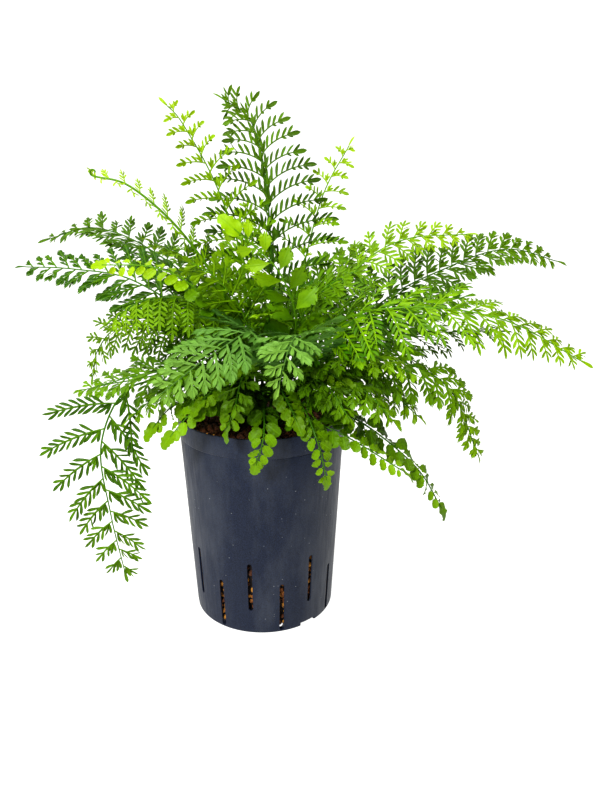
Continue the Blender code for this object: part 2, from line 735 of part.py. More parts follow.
def main():
    """Build the potted fern."""
    clear_scene()
    parts = collection("potted_fern")
    cutters = collection("potted_fern_cutters")
    build_pot(parts, cutters)
    build_fill(parts)
    build_plug(parts)
    build_crown(parts)
    build_fronds(parts)


main()
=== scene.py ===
"""Visual model of the potted fern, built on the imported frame.

Every frond is grown on the same route as its solid: a grooved rachis, arching pinnae and
the small lobes along them. The pot, its clay granules, the rooted peat and the scaly crown
are modelled as the separate things they are. Metres throughout, +Z up.
"""

import logging
import math
from collections.abc import Callable
from dataclasses import dataclass, field
from enum import Enum
from functools import partial

import bmesh
import bpy
import numpy as np
from mathutils import Euler, Matrix, Vector


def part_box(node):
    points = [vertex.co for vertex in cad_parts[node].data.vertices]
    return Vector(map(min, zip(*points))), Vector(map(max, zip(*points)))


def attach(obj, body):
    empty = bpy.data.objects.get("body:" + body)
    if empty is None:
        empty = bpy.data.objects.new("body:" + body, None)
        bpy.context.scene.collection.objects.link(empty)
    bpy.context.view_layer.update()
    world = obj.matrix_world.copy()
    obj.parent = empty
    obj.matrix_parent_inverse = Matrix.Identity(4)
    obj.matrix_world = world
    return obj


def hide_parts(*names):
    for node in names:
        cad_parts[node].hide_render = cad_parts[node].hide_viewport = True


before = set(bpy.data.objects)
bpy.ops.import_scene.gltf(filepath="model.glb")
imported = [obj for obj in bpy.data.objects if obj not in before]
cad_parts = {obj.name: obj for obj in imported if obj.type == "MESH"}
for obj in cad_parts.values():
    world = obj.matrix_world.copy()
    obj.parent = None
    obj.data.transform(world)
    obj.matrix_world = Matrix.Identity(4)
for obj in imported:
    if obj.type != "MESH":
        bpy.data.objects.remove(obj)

LOG = logging.getLogger("potted_fern")
MM = 0.001
BODY = "root"
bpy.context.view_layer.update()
DOWN = np.array([0.0, 0.0, -1.0])


# --- Shading helpers ---------------------------------------------------------------------


def linear(code: str) -> tuple[float, float, float, float]:
    """Turn an sRGB hex colour into the linear colour that shaders use.

    Args:
        code: Six hex digits, such as "3f7a1e".

    Returns:
        Red, green, blue and alpha, in linear light.
    """
    channels = [int(code[start:start + 2], 16) / 255.0 for start in (0, 2, 4)]
    bright = [value / 12.92 if value <= 0.04045 else ((value + 0.055) / 1.055) ** 2.4
              for value in channels]
    return bright[0], bright[1], bright[2], 1.0


def add_node(tree: bpy.types.NodeTree, kind: str, inputs: dict | None = None,
             stops: tuple = (), **settings: object) -> bpy.types.Node:
    """Add a node with its settings, its input values and its links.

    Args:
        tree: Node tree that takes the node.
        kind: Node type name, without its "ShaderNode" prefix.
        inputs: Input names or numbers, each with a value, a socket to link, or a node whose
            first output in use is linked.
        stops: Colour ramp stops as (position, linear colour), for a ramp only.
        settings: Properties of the node itself.

    Returns:
        The new node.
    """
    node = tree.nodes.new(f"ShaderNode{kind}")
    for key, value in settings.items():
        setattr(node, key, value)
    if stops:
        elements = node.color_ramp.elements
        for _ in range(len(stops) - len(elements)):
            elements.new(0.5)
        for element, (position, colour) in zip(elements, stops):
            element.position = position
            element.color = colour
    for key, value in (inputs or {}).items():
        if isinstance(value, bpy.types.Node):
            value = next(socket for socket in value.outputs if socket.enabled)
        if isinstance(value, bpy.types.NodeSocket):
            tree.links.new(value, node.inputs[key])
        else:
            node.inputs[key].default_value = value
    return node


def new_material(name: str) -> tuple[bpy.types.Material, Callable[..., bpy.types.Node]]:
    """Make an empty node material.

    Args:
        name: Material name.

    Returns:
        The material, and add_node for its node tree.
    """
    material = bpy.data.materials.new(name)
    material.use_nodes = True
    material.node_tree.nodes.clear()
    return material, partial(add_node, material.node_tree)


# --- Mesh drafting -----------------------------------------------------------------------


def unit(vectors: np.ndarray) -> np.ndarray:
    """Scale the vectors that lie along the last axis to length one."""
    return vectors / np.maximum(np.linalg.norm(vectors, axis=-1, keepdims=True), 1e-12)


def around(reach: float, turn: float, height: float) -> tuple[float, float, float]:
    """Point at a distance from the axis, a bearing in radians and a height."""
    return reach * math.cos(turn), reach * math.sin(turn), height


def vein_grid(across: np.ndarray, along: np.ndarray) -> np.ndarray:
    """Vein map of a grid, shaped (rows, columns, 2), from its columns and its rows."""
    return np.stack(np.broadcast_arrays(across[None], along[:, None]), -1)


class MeshDraft:
    """Gathers grids of quads, with a vein map and marks, into one mesh.

    The three marks on every point are the tint of its lobe, which in places carries
    painted shade, its age along the frond and how much it is stalk rather than leaf.
    """

    def __init__(self) -> None:
        """Start with nothing gathered."""
        self.points: list[np.ndarray] = []
        self.faces: list[np.ndarray] = []
        self.vein_map: list[np.ndarray] = []
        self.marks: list[np.ndarray] = []
        self.count = 0

    def add_grids(self, points: np.ndarray, vein_map: np.ndarray, marks: np.ndarray) -> None:
        """Add patches that share one grid layout.

        Args:
            points: Patch points, shaped (patches, rows, columns, 3).
            vein_map: Map coordinates of the grid, shaped (rows, columns, 2).
            marks: Marks of each patch, shaped (patches, 3).
        """
        patches, rows, columns, _ = points.shape
        row, column = np.meshgrid(np.arange(rows - 1), np.arange(columns - 1), indexing="ij")
        first = (row * columns + column).reshape(-1)
        quads = np.stack([first, first + columns, first + columns + 1, first + 1], axis=1)
        offsets = self.count + np.arange(patches) * rows * columns
        self.faces.append((quads[None] + offsets[:, None, None]).reshape(-1, 4))
        self.points.append(points.reshape(-1, 3))
        layout = np.broadcast_to(vein_map[None], (patches, rows, columns, 2))
        self.vein_map.append(layout.reshape(-1, 2))
        self.marks.append(np.repeat(marks, rows * columns, axis=0))
        self.count += patches * rows * columns

    def add_tube(self, path: np.ndarray, across: np.ndarray, upward: np.ndarray,
                 radii: np.ndarray, sides: int, mark: tuple[float, float, float],
                 groove: float = 0.0) -> None:
        """Add a tapered tube along a path.

        Args:
            path: Centre points, shaped (rows, 3).
            across: Sideways unit vectors at the points.
            upward: Upward unit vectors at the points.
            radii: Radius at each point.
            sides: Number of facets around it.
            mark: Tint, age and stalk marks of the whole tube.
            groove: Depth of the channel along its upper side, as a share of the radius.
        """
        turn = np.linspace(0.0, 2.0 * math.pi, sides + 1)
        dent = 1.0 - groove * np.maximum(0.0, np.sin(turn)) ** 6
        ring = (across[:, None] * (np.cos(turn) * dent)[None, :, None]
                + upward[:, None] * (np.sin(turn) * dent)[None, :, None])
        points = path[:, None] + ring * radii[:, None, None]
        along = np.linspace(0.0, 1.0, len(path))
        layout = vein_grid(turn / math.pi - 1.0, along)
        self.add_grids(points[None, :, ::-1], layout, np.array([mark]))

    def build(self, name: str, material: bpy.types.Material) -> bpy.types.Object:
        """Turn what was gathered into a smooth object of one material."""
        return mesh_object(name, np.concatenate(self.points), np.concatenate(self.faces),
                           material, np.concatenate(self.marks), np.concatenate(self.vein_map))


def add_object(name: str, data: bpy.types.ID) -> bpy.types.Object:
    """Make an object and link it to the scene.

    Args:
        name: Object name.
        data: Its mesh, light or camera.

    Returns:
        The new object.
    """
    item = bpy.data.objects.new(name, data)
    bpy.context.scene.collection.objects.link(item)
    return item


def mesh_object(name: str, points: np.ndarray, faces: np.ndarray,
                material: bpy.types.Material, marks: np.ndarray | None = None,
                vein_map: np.ndarray | None = None) -> bpy.types.Object:
    """Make a smooth mesh object from arrays of points and equal-sided faces.

    Args:
        name: Object name.
        points: Points, shaped (count, 3).
        faces: Point numbers of each face, shaped (count, corners).
        material: The object's material.
        marks: Three marks per point, stored as the colour attribute "marks".
        vein_map: Two map coordinates per point, stored as the UV map "veins".

    Returns:
        The new object, linked to the scene.
    """
    mesh = bpy.data.meshes.new(name)
    corners = faces.shape[1]
    mesh.vertices.add(len(points))
    mesh.vertices.foreach_set("co", points.astype(np.float32).ravel())
    mesh.loops.add(faces.size)
    mesh.loops.foreach_set("vertex_index", faces.astype(np.int32).ravel())
    mesh.polygons.add(len(faces))
    mesh.polygons.foreach_set("loop_start", np.arange(0, faces.size, corners, dtype=np.int32))
    mesh.update(calc_edges=True)
    if marks is not None:
        colours = np.ones((len(points), 4), dtype=np.float32)
        colours[:, :3] = marks
        layer = mesh.attributes.new("marks", "FLOAT_COLOR", "POINT")
        layer.data.foreach_set("color", colours.ravel())
    if vein_map is not None:
        layer = mesh.uv_layers.new(name="veins")
        layer.uv.foreach_set("vector", vein_map[faces.ravel()].astype(np.float32).ravel())
    mesh.materials.append(material)
    mesh.shade_smooth()
    return add_object(name, mesh)


def fit_to_frame(piece: bpy.types.Object, slot: str, *nodes: str) -> None:
    """Ride a piece on the model's body and hide the solids it stands for.

    Args:
        piece: The visual piece.
        slot: Material slot of the record. Not used.
        nodes: CAD nodes that the piece replaces.
    """
    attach(piece, BODY)
    if nodes:
        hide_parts(*nodes)
    LOG.info("%s: %d faces", piece.name, len(piece.data.polygons))


# --- Finishes ----------------------------------------------------------------------------


@dataclass(frozen=True)
class LeafFinish:
    """Living fern leaf: a thin, waxy, light-passing blade with darker veins.

    The colours are the full-grown blade, the same blade in its dullest lobes and in painted
    shade, new growth, light that has passed through, the veins and the stalk. The last value
    is how strongly the veins show, from 0 to 1.
    """

    name: str
    slot: str
    blade: str
    shade: str
    young: str
    glow: str
    vein: str
    stalk: str
    roughness: float
    veins_show: float

    # Uneven chlorophyll in blotches of 12.5 mm.
    BLOTCH_SCALE = 80.0
    # Leaf skin cells of about half a millimetre.
    CELL_SCALE = 1900.0
    # The sideways share of a side vein's slant, and how many pairs a lobe has.
    VEIN_SLANT = -0.55
    VEIN_PAIRS = 9.0
    # The wax dulls the glint, and the blade passes a ninth of the light.
    WAX_SPECULAR = 0.17
    LIGHT_THROUGH = 0.11

    def material(self) -> bpy.types.Material:
        """Make the leaf material.

        Returns:
            A waxy Principled surface mixed with light passing through the blade, which is
            what makes thin fronds look bright against the light.
        """
        material, add = new_material(self.name)
        marks = add("Attribute", attribute_name="marks")
        split = add("SeparateColor", {"Color": marks})
        place = add("TexCoord").outputs["Object"]
        blotch = add("TexNoise", {"Vector": place, "Scale": self.BLOTCH_SCALE, "Detail": 3.0})
        # The tint mark, darkened by painted shade near the crown and toward each frond's foot,
        # picks between the dull and the full blade colour.
        mix_in = add("Math", {0: split.outputs["Red"], 1: blotch}, operation="ADD")
        tone = add("MapRange", {"Value": mix_in, "From Min": 0.45, "From Max": 1.35})
        blade = add("Mix", {0: tone, 6: linear(self.shade), 7: linear(self.blade)},
                    data_type="RGBA")
        age = add("Math", {0: split.outputs["Green"], 1: 1.7}, operation="POWER")
        grown = add("Mix", {0: age, 6: blade, 7: linear(self.young)}, data_type="RGBA")
        # Veins: the midrib and forward-slanting side veins, read from the vein map.
        layout = add("UVMap", uv_map="veins")
        axes = add("SeparateXYZ", {"Vector": layout})
        off_rib = add("Math", {0: axes.outputs["X"]}, operation="ABSOLUTE")
        rib = add("MapRange", {"Value": off_rib, "From Min": 0.04, "From Max": 0.16,
                               "To Min": 1.0, "To Max": 0.0})
        slant = add("Math", {0: off_rib, 1: self.VEIN_SLANT, 2: axes.outputs["Y"]},
                    operation="MULTIPLY_ADD")
        comb = add("Math", {0: slant, 1: self.VEIN_PAIRS}, operation="MULTIPLY")
        saw = add("Math", {0: comb, 1: 1.0}, operation="PINGPONG")
        fine = add("MapRange", {"Value": saw, "From Min": 0.0, "From Max": 0.22,
                                "To Min": 0.55, "To Max": 0.0})
        line = add("Math", {0: rib, 1: fine}, operation="MAXIMUM")
        shown = add("Math", {0: line, 1: self.veins_show}, operation="MULTIPLY")
        veined = add("Mix", {0: shown, 6: grown, 7: linear(self.vein)}, data_type="RGBA")
        colour = add("Mix", {0: split.outputs["Blue"], 6: veined, 7: linear(self.stalk)},
                     data_type="RGBA")
        # The skin cells and the raised veins catch the light as a fine grain.
        cells = add("TexVoronoi", {"Vector": place, "Scale": self.CELL_SCALE})
        relief = add("Math", {0: line, 1: 2.2, 2: cells}, operation="MULTIPLY_ADD")
        bump = add("Bump", {"Height": relief, "Strength": 0.35, "Distance": 0.18 * MM})
        gloss = add("MapRange", {"Value": blotch, "From Min": 0.3, "From Max": 0.7,
                                 "To Min": self.roughness - 0.07,
                                 "To Max": self.roughness + 0.10})
        skin = add("BsdfPrincipled", {"Base Color": colour, "Roughness": gloss, "IOR": 1.42,
                                      "Specular IOR Level": self.WAX_SPECULAR, "Normal": bump})
        through = add("Mix", {0: split.outputs["Blue"], 6: linear(self.glow),
                              7: linear(self.stalk)}, data_type="RGBA")
        lit = add("BsdfTranslucent", {"Color": through})
        blend = add("MixShader", {0: self.LIGHT_THROUGH, 1: skin, 2: lit})
        add("OutputMaterial", {"Surface": blend})
        return material


class Tone(Enum):
    """The leaf finishes that the plant shows, from old shaded fronds to new growth."""

    # Old outer fronds: dark and saturated.
    DEEP = LeafFinish("deep_green_fern_leaf", "leaf_deep_green", "466c00", "183400", "6c9008",
                      "527a04", "5c9410", "32600c", 0.38, 0.40)
    # Full-grown fronds: the plant's main grass green.
    MID = LeafFinish("mid_green_fern_leaf", "leaf_mid_green", "588400", "234a00", "7ca206",
                     "688c02", "74a814", "3e6e0c", 0.36, 0.38)
    # Fronds with a bloom on the wax: a cooler, chalkier green.
    GREY = LeafFinish("grey_green_fern_leaf", "leaf_grey_green", "5c8a3a", "2c5818", "78a03c",
                      "648c24", "365e20", "466a26", 0.40, 0.50)
    # New fronds: thin and yellow-green, the brightest in the plant.
    LIME = LeafFinish("lime_green_young_leaf", "leaf_lime_green", "78a400", "306400", "9ebb0c",
                      "84a404", "5c8a00", "5a8c10", 0.38, 0.32)


@dataclass(frozen=True)
class PotFinish:
    """Moulded polypropylene: satin dark blue-grey, with fine flow speckle, dust and scuffs.

    Its colours are the plastic, the paler pigment flow in it, and the dust.
    """

    body: str = "111726"
    flow: str = "1f2940"
    dust: str = "8b8f94"

    # Pigment flow of 0.8 mm, drawn coarse enough to show.
    FLOW_SCALE = 1250.0
    # Dust film in clouds of about 40 mm, drawn out to streaks that run down the wall.
    FILM_SCALE = 26.0
    FILM_STREAK = 0.35
    # Loose specks of lime and dust, 0.4 to 1 mm, in one of ten cells of 4 mm.
    SPECK_SCALE = 260.0
    SPECK_CHANCE = 0.10
    # Handling rubs in the sheen: streaks about 2 mm wide and 30 mm long.
    RUB_SCALE = 420.0
    RUB_STREAK = 0.08

    def material(self) -> bpy.types.Material:
        """Make the pot material.

        Returns:
            A satin plastic whose sheen breaks up in fine speckle, pale dust and rubs.
        """
        material, add = new_material("moulded_polypropylene")
        place = add("TexCoord").outputs["Object"]
        speckle = add("TexNoise", {"Vector": place, "Scale": self.FLOW_SCALE, "Detail": 2.0,
                                   "Roughness": 0.7})
        grain = add("MapRange", {"Value": speckle, "From Min": 0.38, "From Max": 0.66})
        base = add("Mix", {0: grain, 6: linear(self.body), 7: linear(self.flow)},
                   data_type="RGBA")
        stretch = add("Mapping", {"Vector": place, "Scale": (1.0, 1.0, self.FILM_STREAK)})
        cloud = add("TexNoise", {"Vector": stretch, "Scale": self.FILM_SCALE, "Detail": 5.0,
                                 "Roughness": 0.62})
        film = add("MapRange",
                   {"Value": cloud, "From Min": 0.46, "From Max": 0.80, "To Max": 0.16})
        dusty = add("Mix", {0: film, 6: base, 7: linear(self.dust)}, data_type="RGBA")
        cells = add("TexVoronoi", {"Vector": place, "Scale": self.SPECK_SCALE})
        near = add("MapRange", {"Value": cells, "From Min": 0.07, "From Max": 0.13,
                                "To Min": 1.0, "To Max": 0.0})
        chance = add("SeparateColor", {"Color": cells.outputs["Color"]})
        picked = add("Math", {0: chance, 1: 1.0 - self.SPECK_CHANCE}, operation="GREATER_THAN")
        specks = add("Math", {0: near, 1: picked}, operation="MULTIPLY")
        paint = add("Math", {0: specks, 1: 0.75}, operation="MULTIPLY")
        colour = add("Mix", {0: paint, 6: dusty, 7: linear(self.dust)}, data_type="RGBA")
        lay = add("Mapping", {"Vector": place, "Rotation": (0.4, 0.2, 0.0),
                              "Scale": (1.0, 1.0, self.RUB_STREAK)})
        rub = add("TexNoise", {"Vector": lay, "Scale": self.RUB_SCALE, "Detail": 2.0})
        sheen = add("MapRange", {"Value": rub, "From Min": 0.35, "From Max": 0.7,
                                 "To Min": 0.40, "To Max": 0.56})
        height = add("Math", {0: speckle, 1: 0.5, 2: specks}, operation="MULTIPLY_ADD")
        bump = add("Bump", {"Height": height, "Strength": 0.5, "Distance": 0.2 * MM})
        shader = add("BsdfPrincipled", {"Base Color": colour, "Roughness": sheen, "IOR": 1.49,
                                        "Specular IOR Level": 0.24, "Normal": bump})
        add("OutputMaterial", {"Surface": shader})
        return material


@dataclass(frozen=True)
class EarthFinish:
    """A dry, crumbly material in three colours: fired clay, peat or papery scales.

    The pore is the width of its open pores in metres.
    """

    name: str
    dark: str
    middle: str
    light: str
    pore: float
    roughness: float

    def material(self) -> bpy.types.Material:
        """Make the material.

        Returns:
            A matt surface whose colour varies from piece to piece and within each piece,
            with open pores that give it a rough, dusty look.
        """
        material, add = new_material(self.name)
        marks = add("Attribute", attribute_name="marks")
        split = add("SeparateColor", {"Color": marks})
        place = add("TexCoord").outputs["Object"]
        mottle = add("TexNoise", {"Vector": place, "Scale": 1.0 / (6.0 * self.pore),
                                  "Detail": 4.0, "Roughness": 0.65})
        pick = add("Math", {0: split, 1: 0.65, 2: mottle}, operation="MULTIPLY_ADD")
        ramp = add("ValToRGB", {"Fac": pick},
                   stops=((0.42, linear(self.dark)), (0.75, linear(self.middle)),
                          (1.0, linear(self.light))))
        pores = add("TexVoronoi", {"Vector": place, "Scale": 0.5 / self.pore})
        bump = add("Bump", {"Height": pores, "Strength": 0.8, "Distance": 0.6 * self.pore})
        shader = add("BsdfPrincipled", {"Base Color": ramp, "Roughness": self.roughness,
                                        "IOR": 1.5, "Normal": bump})
        add("OutputMaterial", {"Surface": shader})
        return material


# Fired clay: matt orange-brown beads, dusty, and almost black on top of the fill, where
# painted shade darkens them.
FIRED_CLAY = EarthFinish("fired_expanded_clay", "2c160c", "7c4820", "bc8430", 0.35 * MM, 0.88)
# Peat: dark and fibrous, and so matt that it only reads as depth between the stalks.
PEAT = EarthFinish("rooted_peat", "120b07", "2b1a10", "4a2f1c", 0.30 * MM, 0.95)
# Rhizome scales: thin brown paper, a little shinier than the peat around them.
SCALES = EarthFinish("papery_rhizome_scales", "1d120a", "46301a", "6d4d2a", 0.25 * MM, 0.80)


# --- Leaf lobes --------------------------------------------------------------------------


@dataclass(frozen=True)
class LobeShape:
    """Outline and relief of one kind of lobe, as a grid from its foot to its end.

    Rows run along it and columns across it. Foot and end are its half widths there, as
    shares of the greatest, which stands at the share belly of its length. Rounding draws
    back the corners of its end. Teeth and tooth_depth notch the end, side_teeth and
    side_depth the sides. Fold lifts the edges, hook bends the end down, rounded gives the
    outline of a leaflet and flare narrows that leaflet toward its foot.
    """

    rows: int
    columns: int
    foot: float
    belly: float
    end: float
    rounding: float
    teeth: int = 0
    tooth_depth: float = 0.0
    side_teeth: int = 0
    side_depth: float = 0.0
    fold: float = 0.18
    hook: float = 0.14
    rounded: bool = False
    flare: float = 1.0

    # Height of the pleats between the scallops of a leaflet, by its half width.
    PLEAT = 0.12

    def grid(self) -> tuple[np.ndarray, np.ndarray, np.ndarray]:
        """Lay out the lobe with length one and half width one.

        Returns:
            Distance along it, distance across it and height, each shaped (rows, columns).
        """
        along = np.linspace(0.0, 1.0, self.rows)[:, None]
        across = np.linspace(-1.0, 1.0, self.columns)[None]
        if self.rounded:
            along = 0.5 - 0.5 * np.cos(math.pi * along)
        fall = np.clip((along - self.belly) / (1.0 - self.belly), 0.0, 1.0)
        if self.rounded:
            rise = np.sqrt(1.0 - np.clip(1.0 - along / self.belly, 0.0, 1.0) ** 2.0)
            half = self.foot + (1.0 - self.foot) * rise ** self.flare
            half = half * np.sqrt(1.0 - 0.995 * fall ** 2.4)
        else:
            rise = np.sin(0.5 * math.pi * np.minimum(along / self.belly, 1.0)) ** 1.3
            half = self.foot + (1.0 - self.foot) * rise
            half = half * (1.0 - (1.0 - self.end) * fall ** 2.6)
        if self.side_teeth:
            wave = 1.0 - np.abs(np.sin(self.side_teeth * math.pi * along))
            toothed = np.clip(4.0 * along - 1.2, 0.0, 1.0)
            half = half * (1.0 - self.side_depth * wave * toothed)
        reach = 1.0 - self.rounding * np.abs(across) ** 2.4
        if self.teeth:
            notch = 1.0 - np.abs(np.sin(self.teeth * 0.5 * math.pi * (across + 1.0)))
            reach = reach - self.tooth_depth * notch * (np.abs(across) < 0.999)
        x = along * (1.0 + (reach - 1.0) * along ** 3)
        y = half * across
        z = self.fold * (np.abs(across) ** 1.4) * half
        pleat = self.PLEAT * self.rounded * np.sin(self.side_teeth * math.pi * along)
        return x, y, z + pleat * across ** 2


NEEDLE = LobeShape(6, 3, 0.60, 0.55, 0.45, 0.10, fold=0.40, hook=0.10)
LINEAR = LobeShape(6, 3, 0.48, 0.66, 0.62, 0.14, fold=0.42, hook=0.12)
SPOON = LobeShape(6, 5, 0.34, 0.74, 0.62, 0.26, fold=0.36, hook=0.16)
TOOTHED = LobeShape(8, 13, 0.30, 0.84, 0.86, 0.30, teeth=3, tooth_depth=0.22, fold=0.30,
                    hook=0.18)
LEAFLET = LobeShape(26, 9, 0.10, 0.62, 0.0, 0.0, side_teeth=6, side_depth=0.17, fold=0.22,
                    hook=0.24, rounded=True)
OBLONG = LobeShape(30, 17, 0.08, 0.72, 0.66, 0.34, teeth=4, tooth_depth=0.17, side_teeth=4,
                   side_depth=0.30, fold=0.20, hook=0.26)
TERMINAL = LobeShape(26, 9, 0.20, 0.40, 0.0, 0.0, side_teeth=4, side_depth=0.34, fold=0.16,
                     hook=0.26, rounded=True)


@dataclass
class LobeBatch:
    """Lobes waiting to be laid into a draft, all of one shape."""

    shape: LobeShape
    foot: list[np.ndarray] = field(default_factory=list)
    forward: list[np.ndarray] = field(default_factory=list)
    upward: list[np.ndarray] = field(default_factory=list)
    size: list[tuple[float, float, float]] = field(default_factory=list)
    mark: list[tuple[float, float, float]] = field(default_factory=list)

    def add(self, foot: np.ndarray, forward: np.ndarray, upward: np.ndarray,
            size: tuple[float, float, float], mark: tuple[float, float, float]) -> None:
        """Queue one lobe.

        Args:
            foot: Where it grows from.
            forward: Its direction.
            upward: Its upper face's direction.
            size: Length, half width and sideways bow in metres, the bow positive leftward.
            mark: Tint, age and stalk marks.
        """
        self.foot.append(foot)
        self.forward.append(forward)
        self.upward.append(upward)
        self.size.append(size)
        self.mark.append(mark)

    def lay(self, draft: MeshDraft) -> None:
        """Lay every queued lobe into a draft.

        Args:
            draft: Mesh draft that takes them.
        """
        if not self.foot:
            return
        along, across, height = (layer[None] for layer in self.shape.grid())
        forward = unit(np.array(self.forward))
        upward = np.array(self.upward)
        upward = unit(upward - forward * np.sum(upward * forward, axis=1, keepdims=True))
        sideways = np.cross(upward, forward)
        length, half, bow = (column[:, None, None] for column in np.array(self.size).T)
        x = along * length
        y = across * half + bow * along ** 2
        z = height * half - self.shape.hook * length * along ** 2
        points = (np.array(self.foot)[:, None, None] + forward[:, None, None] * x[..., None]
                  + sideways[:, None, None] * y[..., None]
                  + upward[:, None, None] * z[..., None])
        rows, columns = self.shape.rows, self.shape.columns
        layout = vein_grid(np.linspace(-1.0, 1.0, columns), np.linspace(0.0, 1.0, rows))
        draft.add_grids(points, layout, np.array(self.mark))


# --- Frond habits ------------------------------------------------------------------------


@dataclass(frozen=True)
class PinnaStyle:
    """How the pinnae of a frond stand and how their lobes are set.

    Attributes:
        shape: Shape of the lobes, or of the leaflets of a young frond.
        tip_shape: Shape of the lobe that ends each pinna and the frond.
        pitch: Spacing of the pinnae on one side of the rachis.
        stand: Angles of a pinna from the rachis, at its foot and at its end, in degrees.
        sag: How strongly a pinna hangs.
        lobe_pitch: Spacing of the lobes on a pinna, or 0 where pinnae are whole leaflets.
        lobe_length: Length of a full lobe, or of a leaflet as a share of the plan's width.
        lobe_half: Half width of a full lobe, or of a leaflet as a share of its length.
        lobe_angle: Angles of the lobes from the costa, at its foot and at its end.
        lower: Size of the lobes on the pinna's lower edge, at its foot and at its end.
        forked: Share of the pinna, from its foot, whose lobes are split in three.
        wing: Half width of the blade that joins the lobes.
        leafy_from: Where the blade starts, as a share of the plan's bare length.
        crowding: How much closer the pinnae stand at the tip.
        hooked: Degrees by which the near pinnae curl up, on a frond that is unfurling.
        near_lean: Degrees that are added to the lean of the pinnae on the near side.
        near_size: Relative length of the pinnae on the near side.
        stout: Relative thickness of the rachis.
    """

    shape: LobeShape
    tip_shape: LobeShape
    pitch: float
    stand: tuple[float, float]
    sag: float
    lobe_pitch: float = 0.0
    lobe_length: float = 0.0
    lobe_half: float = 0.0
    lobe_angle: tuple[float, float] = (0.0, 0.0)
    lower: tuple[float, float] = (0.0, 0.0)
    forked: float = 0.0
    wing: float = 0.0
    leafy_from: float = 0.74
    crowding: float = 0.35
    hooked: float = 0.0
    near_lean: float = 0.0
    near_size: float = 1.0
    stout: float = 1.0


class Habit(Enum):
    """The ways in which this fern's fronds are divided.

    Feather, lacy and plume have needle-fine lobes, trailing, comb and hanging narrow ones,
    draped spoon-shaped ones on hanging pinnae, and broad, lobed, wedged and fan toothed
    ones. Young and juvenile fronds have whole leaflets. A curled frond is unfurling.
    """

    FEATHER = PinnaStyle(NEEDLE, NEEDLE, 20.0 * MM, (40.0, 86.0), 0.08, 5.4 * MM, 12.5 * MM,
                         1.35 * MM, (52.0, 42.0), (-0.4, 0.75), 0.16, 0.6 * MM, 0.95, 0.60)
    LACY = PinnaStyle(NEEDLE, NEEDLE, 21.0 * MM, (52.0, 80.0), 0.08, 5.6 * MM, 9.6 * MM,
                      1.20 * MM, (50.0, 40.0), (-0.2, 0.75), 0.1, 0.5 * MM, 0.95, 0.50)
    PLUME = PinnaStyle(NEEDLE, NEEDLE, 16.5 * MM, (74.0, 60.0), 0.10, 5.4 * MM, 14.5 * MM,
                       1.40 * MM, (46.0, 28.0), (0.8, 0.95), 0.2, 0.7 * MM, near_lean=-20.0,
                       near_size=1.15)
    TRAILING = PinnaStyle(LINEAR, LINEAR, 17.0 * MM, (50.0, 60.0), 0.85, 5.6 * MM, 12.0 * MM,
                          1.35 * MM, (50.0, 38.0), (0.0, 0.8), 0.12, 0.6 * MM)
    COMB = PinnaStyle(LINEAR, LINEAR, 17.0 * MM, (58.0, 54.0), 0.60, 5.6 * MM, 12.8 * MM,
                      1.45 * MM, (52.0, 38.0), (0.85, 0.95), 0.15, 0.8 * MM)
    DRAPED = PinnaStyle(SPOON, LINEAR, 13.5 * MM, (66.0, 74.0), 2.60, 4.4 * MM, 9.8 * MM,
                        1.45 * MM, (64.0, 46.0), (0.95, 0.95), 0.10, 0.9 * MM)
    HANGING = PinnaStyle(LINEAR, LINEAR, 24.0 * MM, (62.0, 48.0), 0.10, 6.6 * MM, 15.0 * MM,
                         1.50 * MM, (44.0, 34.0), (0.95, 0.95), 0.10, 0.9 * MM, 0.95)
    BROAD = PinnaStyle(SPOON, TOOTHED, 16.0 * MM, (58.0, 56.0), 0.75, 5.8 * MM, 13.5 * MM,
                       1.95 * MM, (50.0, 34.0), (0.9, 0.95), 0.2, 1.1 * MM)
    LOBED = PinnaStyle(TOOTHED, TOOTHED, 15.0 * MM, (58.0, 50.0), 0.30, 6.4 * MM, 14.0 * MM,
                       1.95 * MM, (46.0, 30.0), (0.95, 0.95), 0.0, 1.3 * MM)
    WEDGED = PinnaStyle(TOOTHED, TOOTHED, 14.5 * MM, (58.0, 50.0), 0.12, 6.0 * MM, 12.5 * MM,
                        1.9 * MM, (36.0, 24.0), (0.9, 0.95), 0.0, 1.0 * MM)
    FAN = PinnaStyle(SPOON, TOOTHED, 15.0 * MM, (66.0, 48.0), 0.20, 5.8 * MM, 14.5 * MM,
                     1.85 * MM, (48.0, 30.0), (0.9, 0.95), 0.1, 1.0 * MM)
    YOUNG = PinnaStyle(LEAFLET, TERMINAL, 11.0 * MM, (66.0, 56.0), 0.34, 0.0, 0.66, 0.39)
    JUVENILE = PinnaStyle(OBLONG, TERMINAL, 22.0 * MM, (66.0, 52.0), 0.10, 0.0, 0.96, 0.34)
    CURLED = PinnaStyle(LINEAR, LINEAR, 17.0 * MM, (62.0, 46.0), 0.05, 3.6 * MM, 9.0 * MM,
                        0.95 * MM, (46.0, 30.0), (0.9, 0.9), 0.0, 0.7 * MM, 0.95, 0.35, 170.0,
                        near_size=0.70, stout=1.60)


@dataclass(frozen=True)
class FrondPlan:
    """One frond's place and proportions.

    Polar and heading place its foot on the crown, in degrees down from the top and by the
    compass. Roll turns the blade about the rachis, width is the longest pinna, bare is the
    leafless share of its length, route is where the rachis passes, in millimetres, and
    maturity takes it from fresh at 0 to old, dull and dark at 1.
    """

    node: str
    polar: float
    habit: Habit
    tone: Tone
    heading: float
    roll: float
    width: float
    bare: float
    route: tuple[tuple[float, float, float], ...]
    maturity: float = 0.0


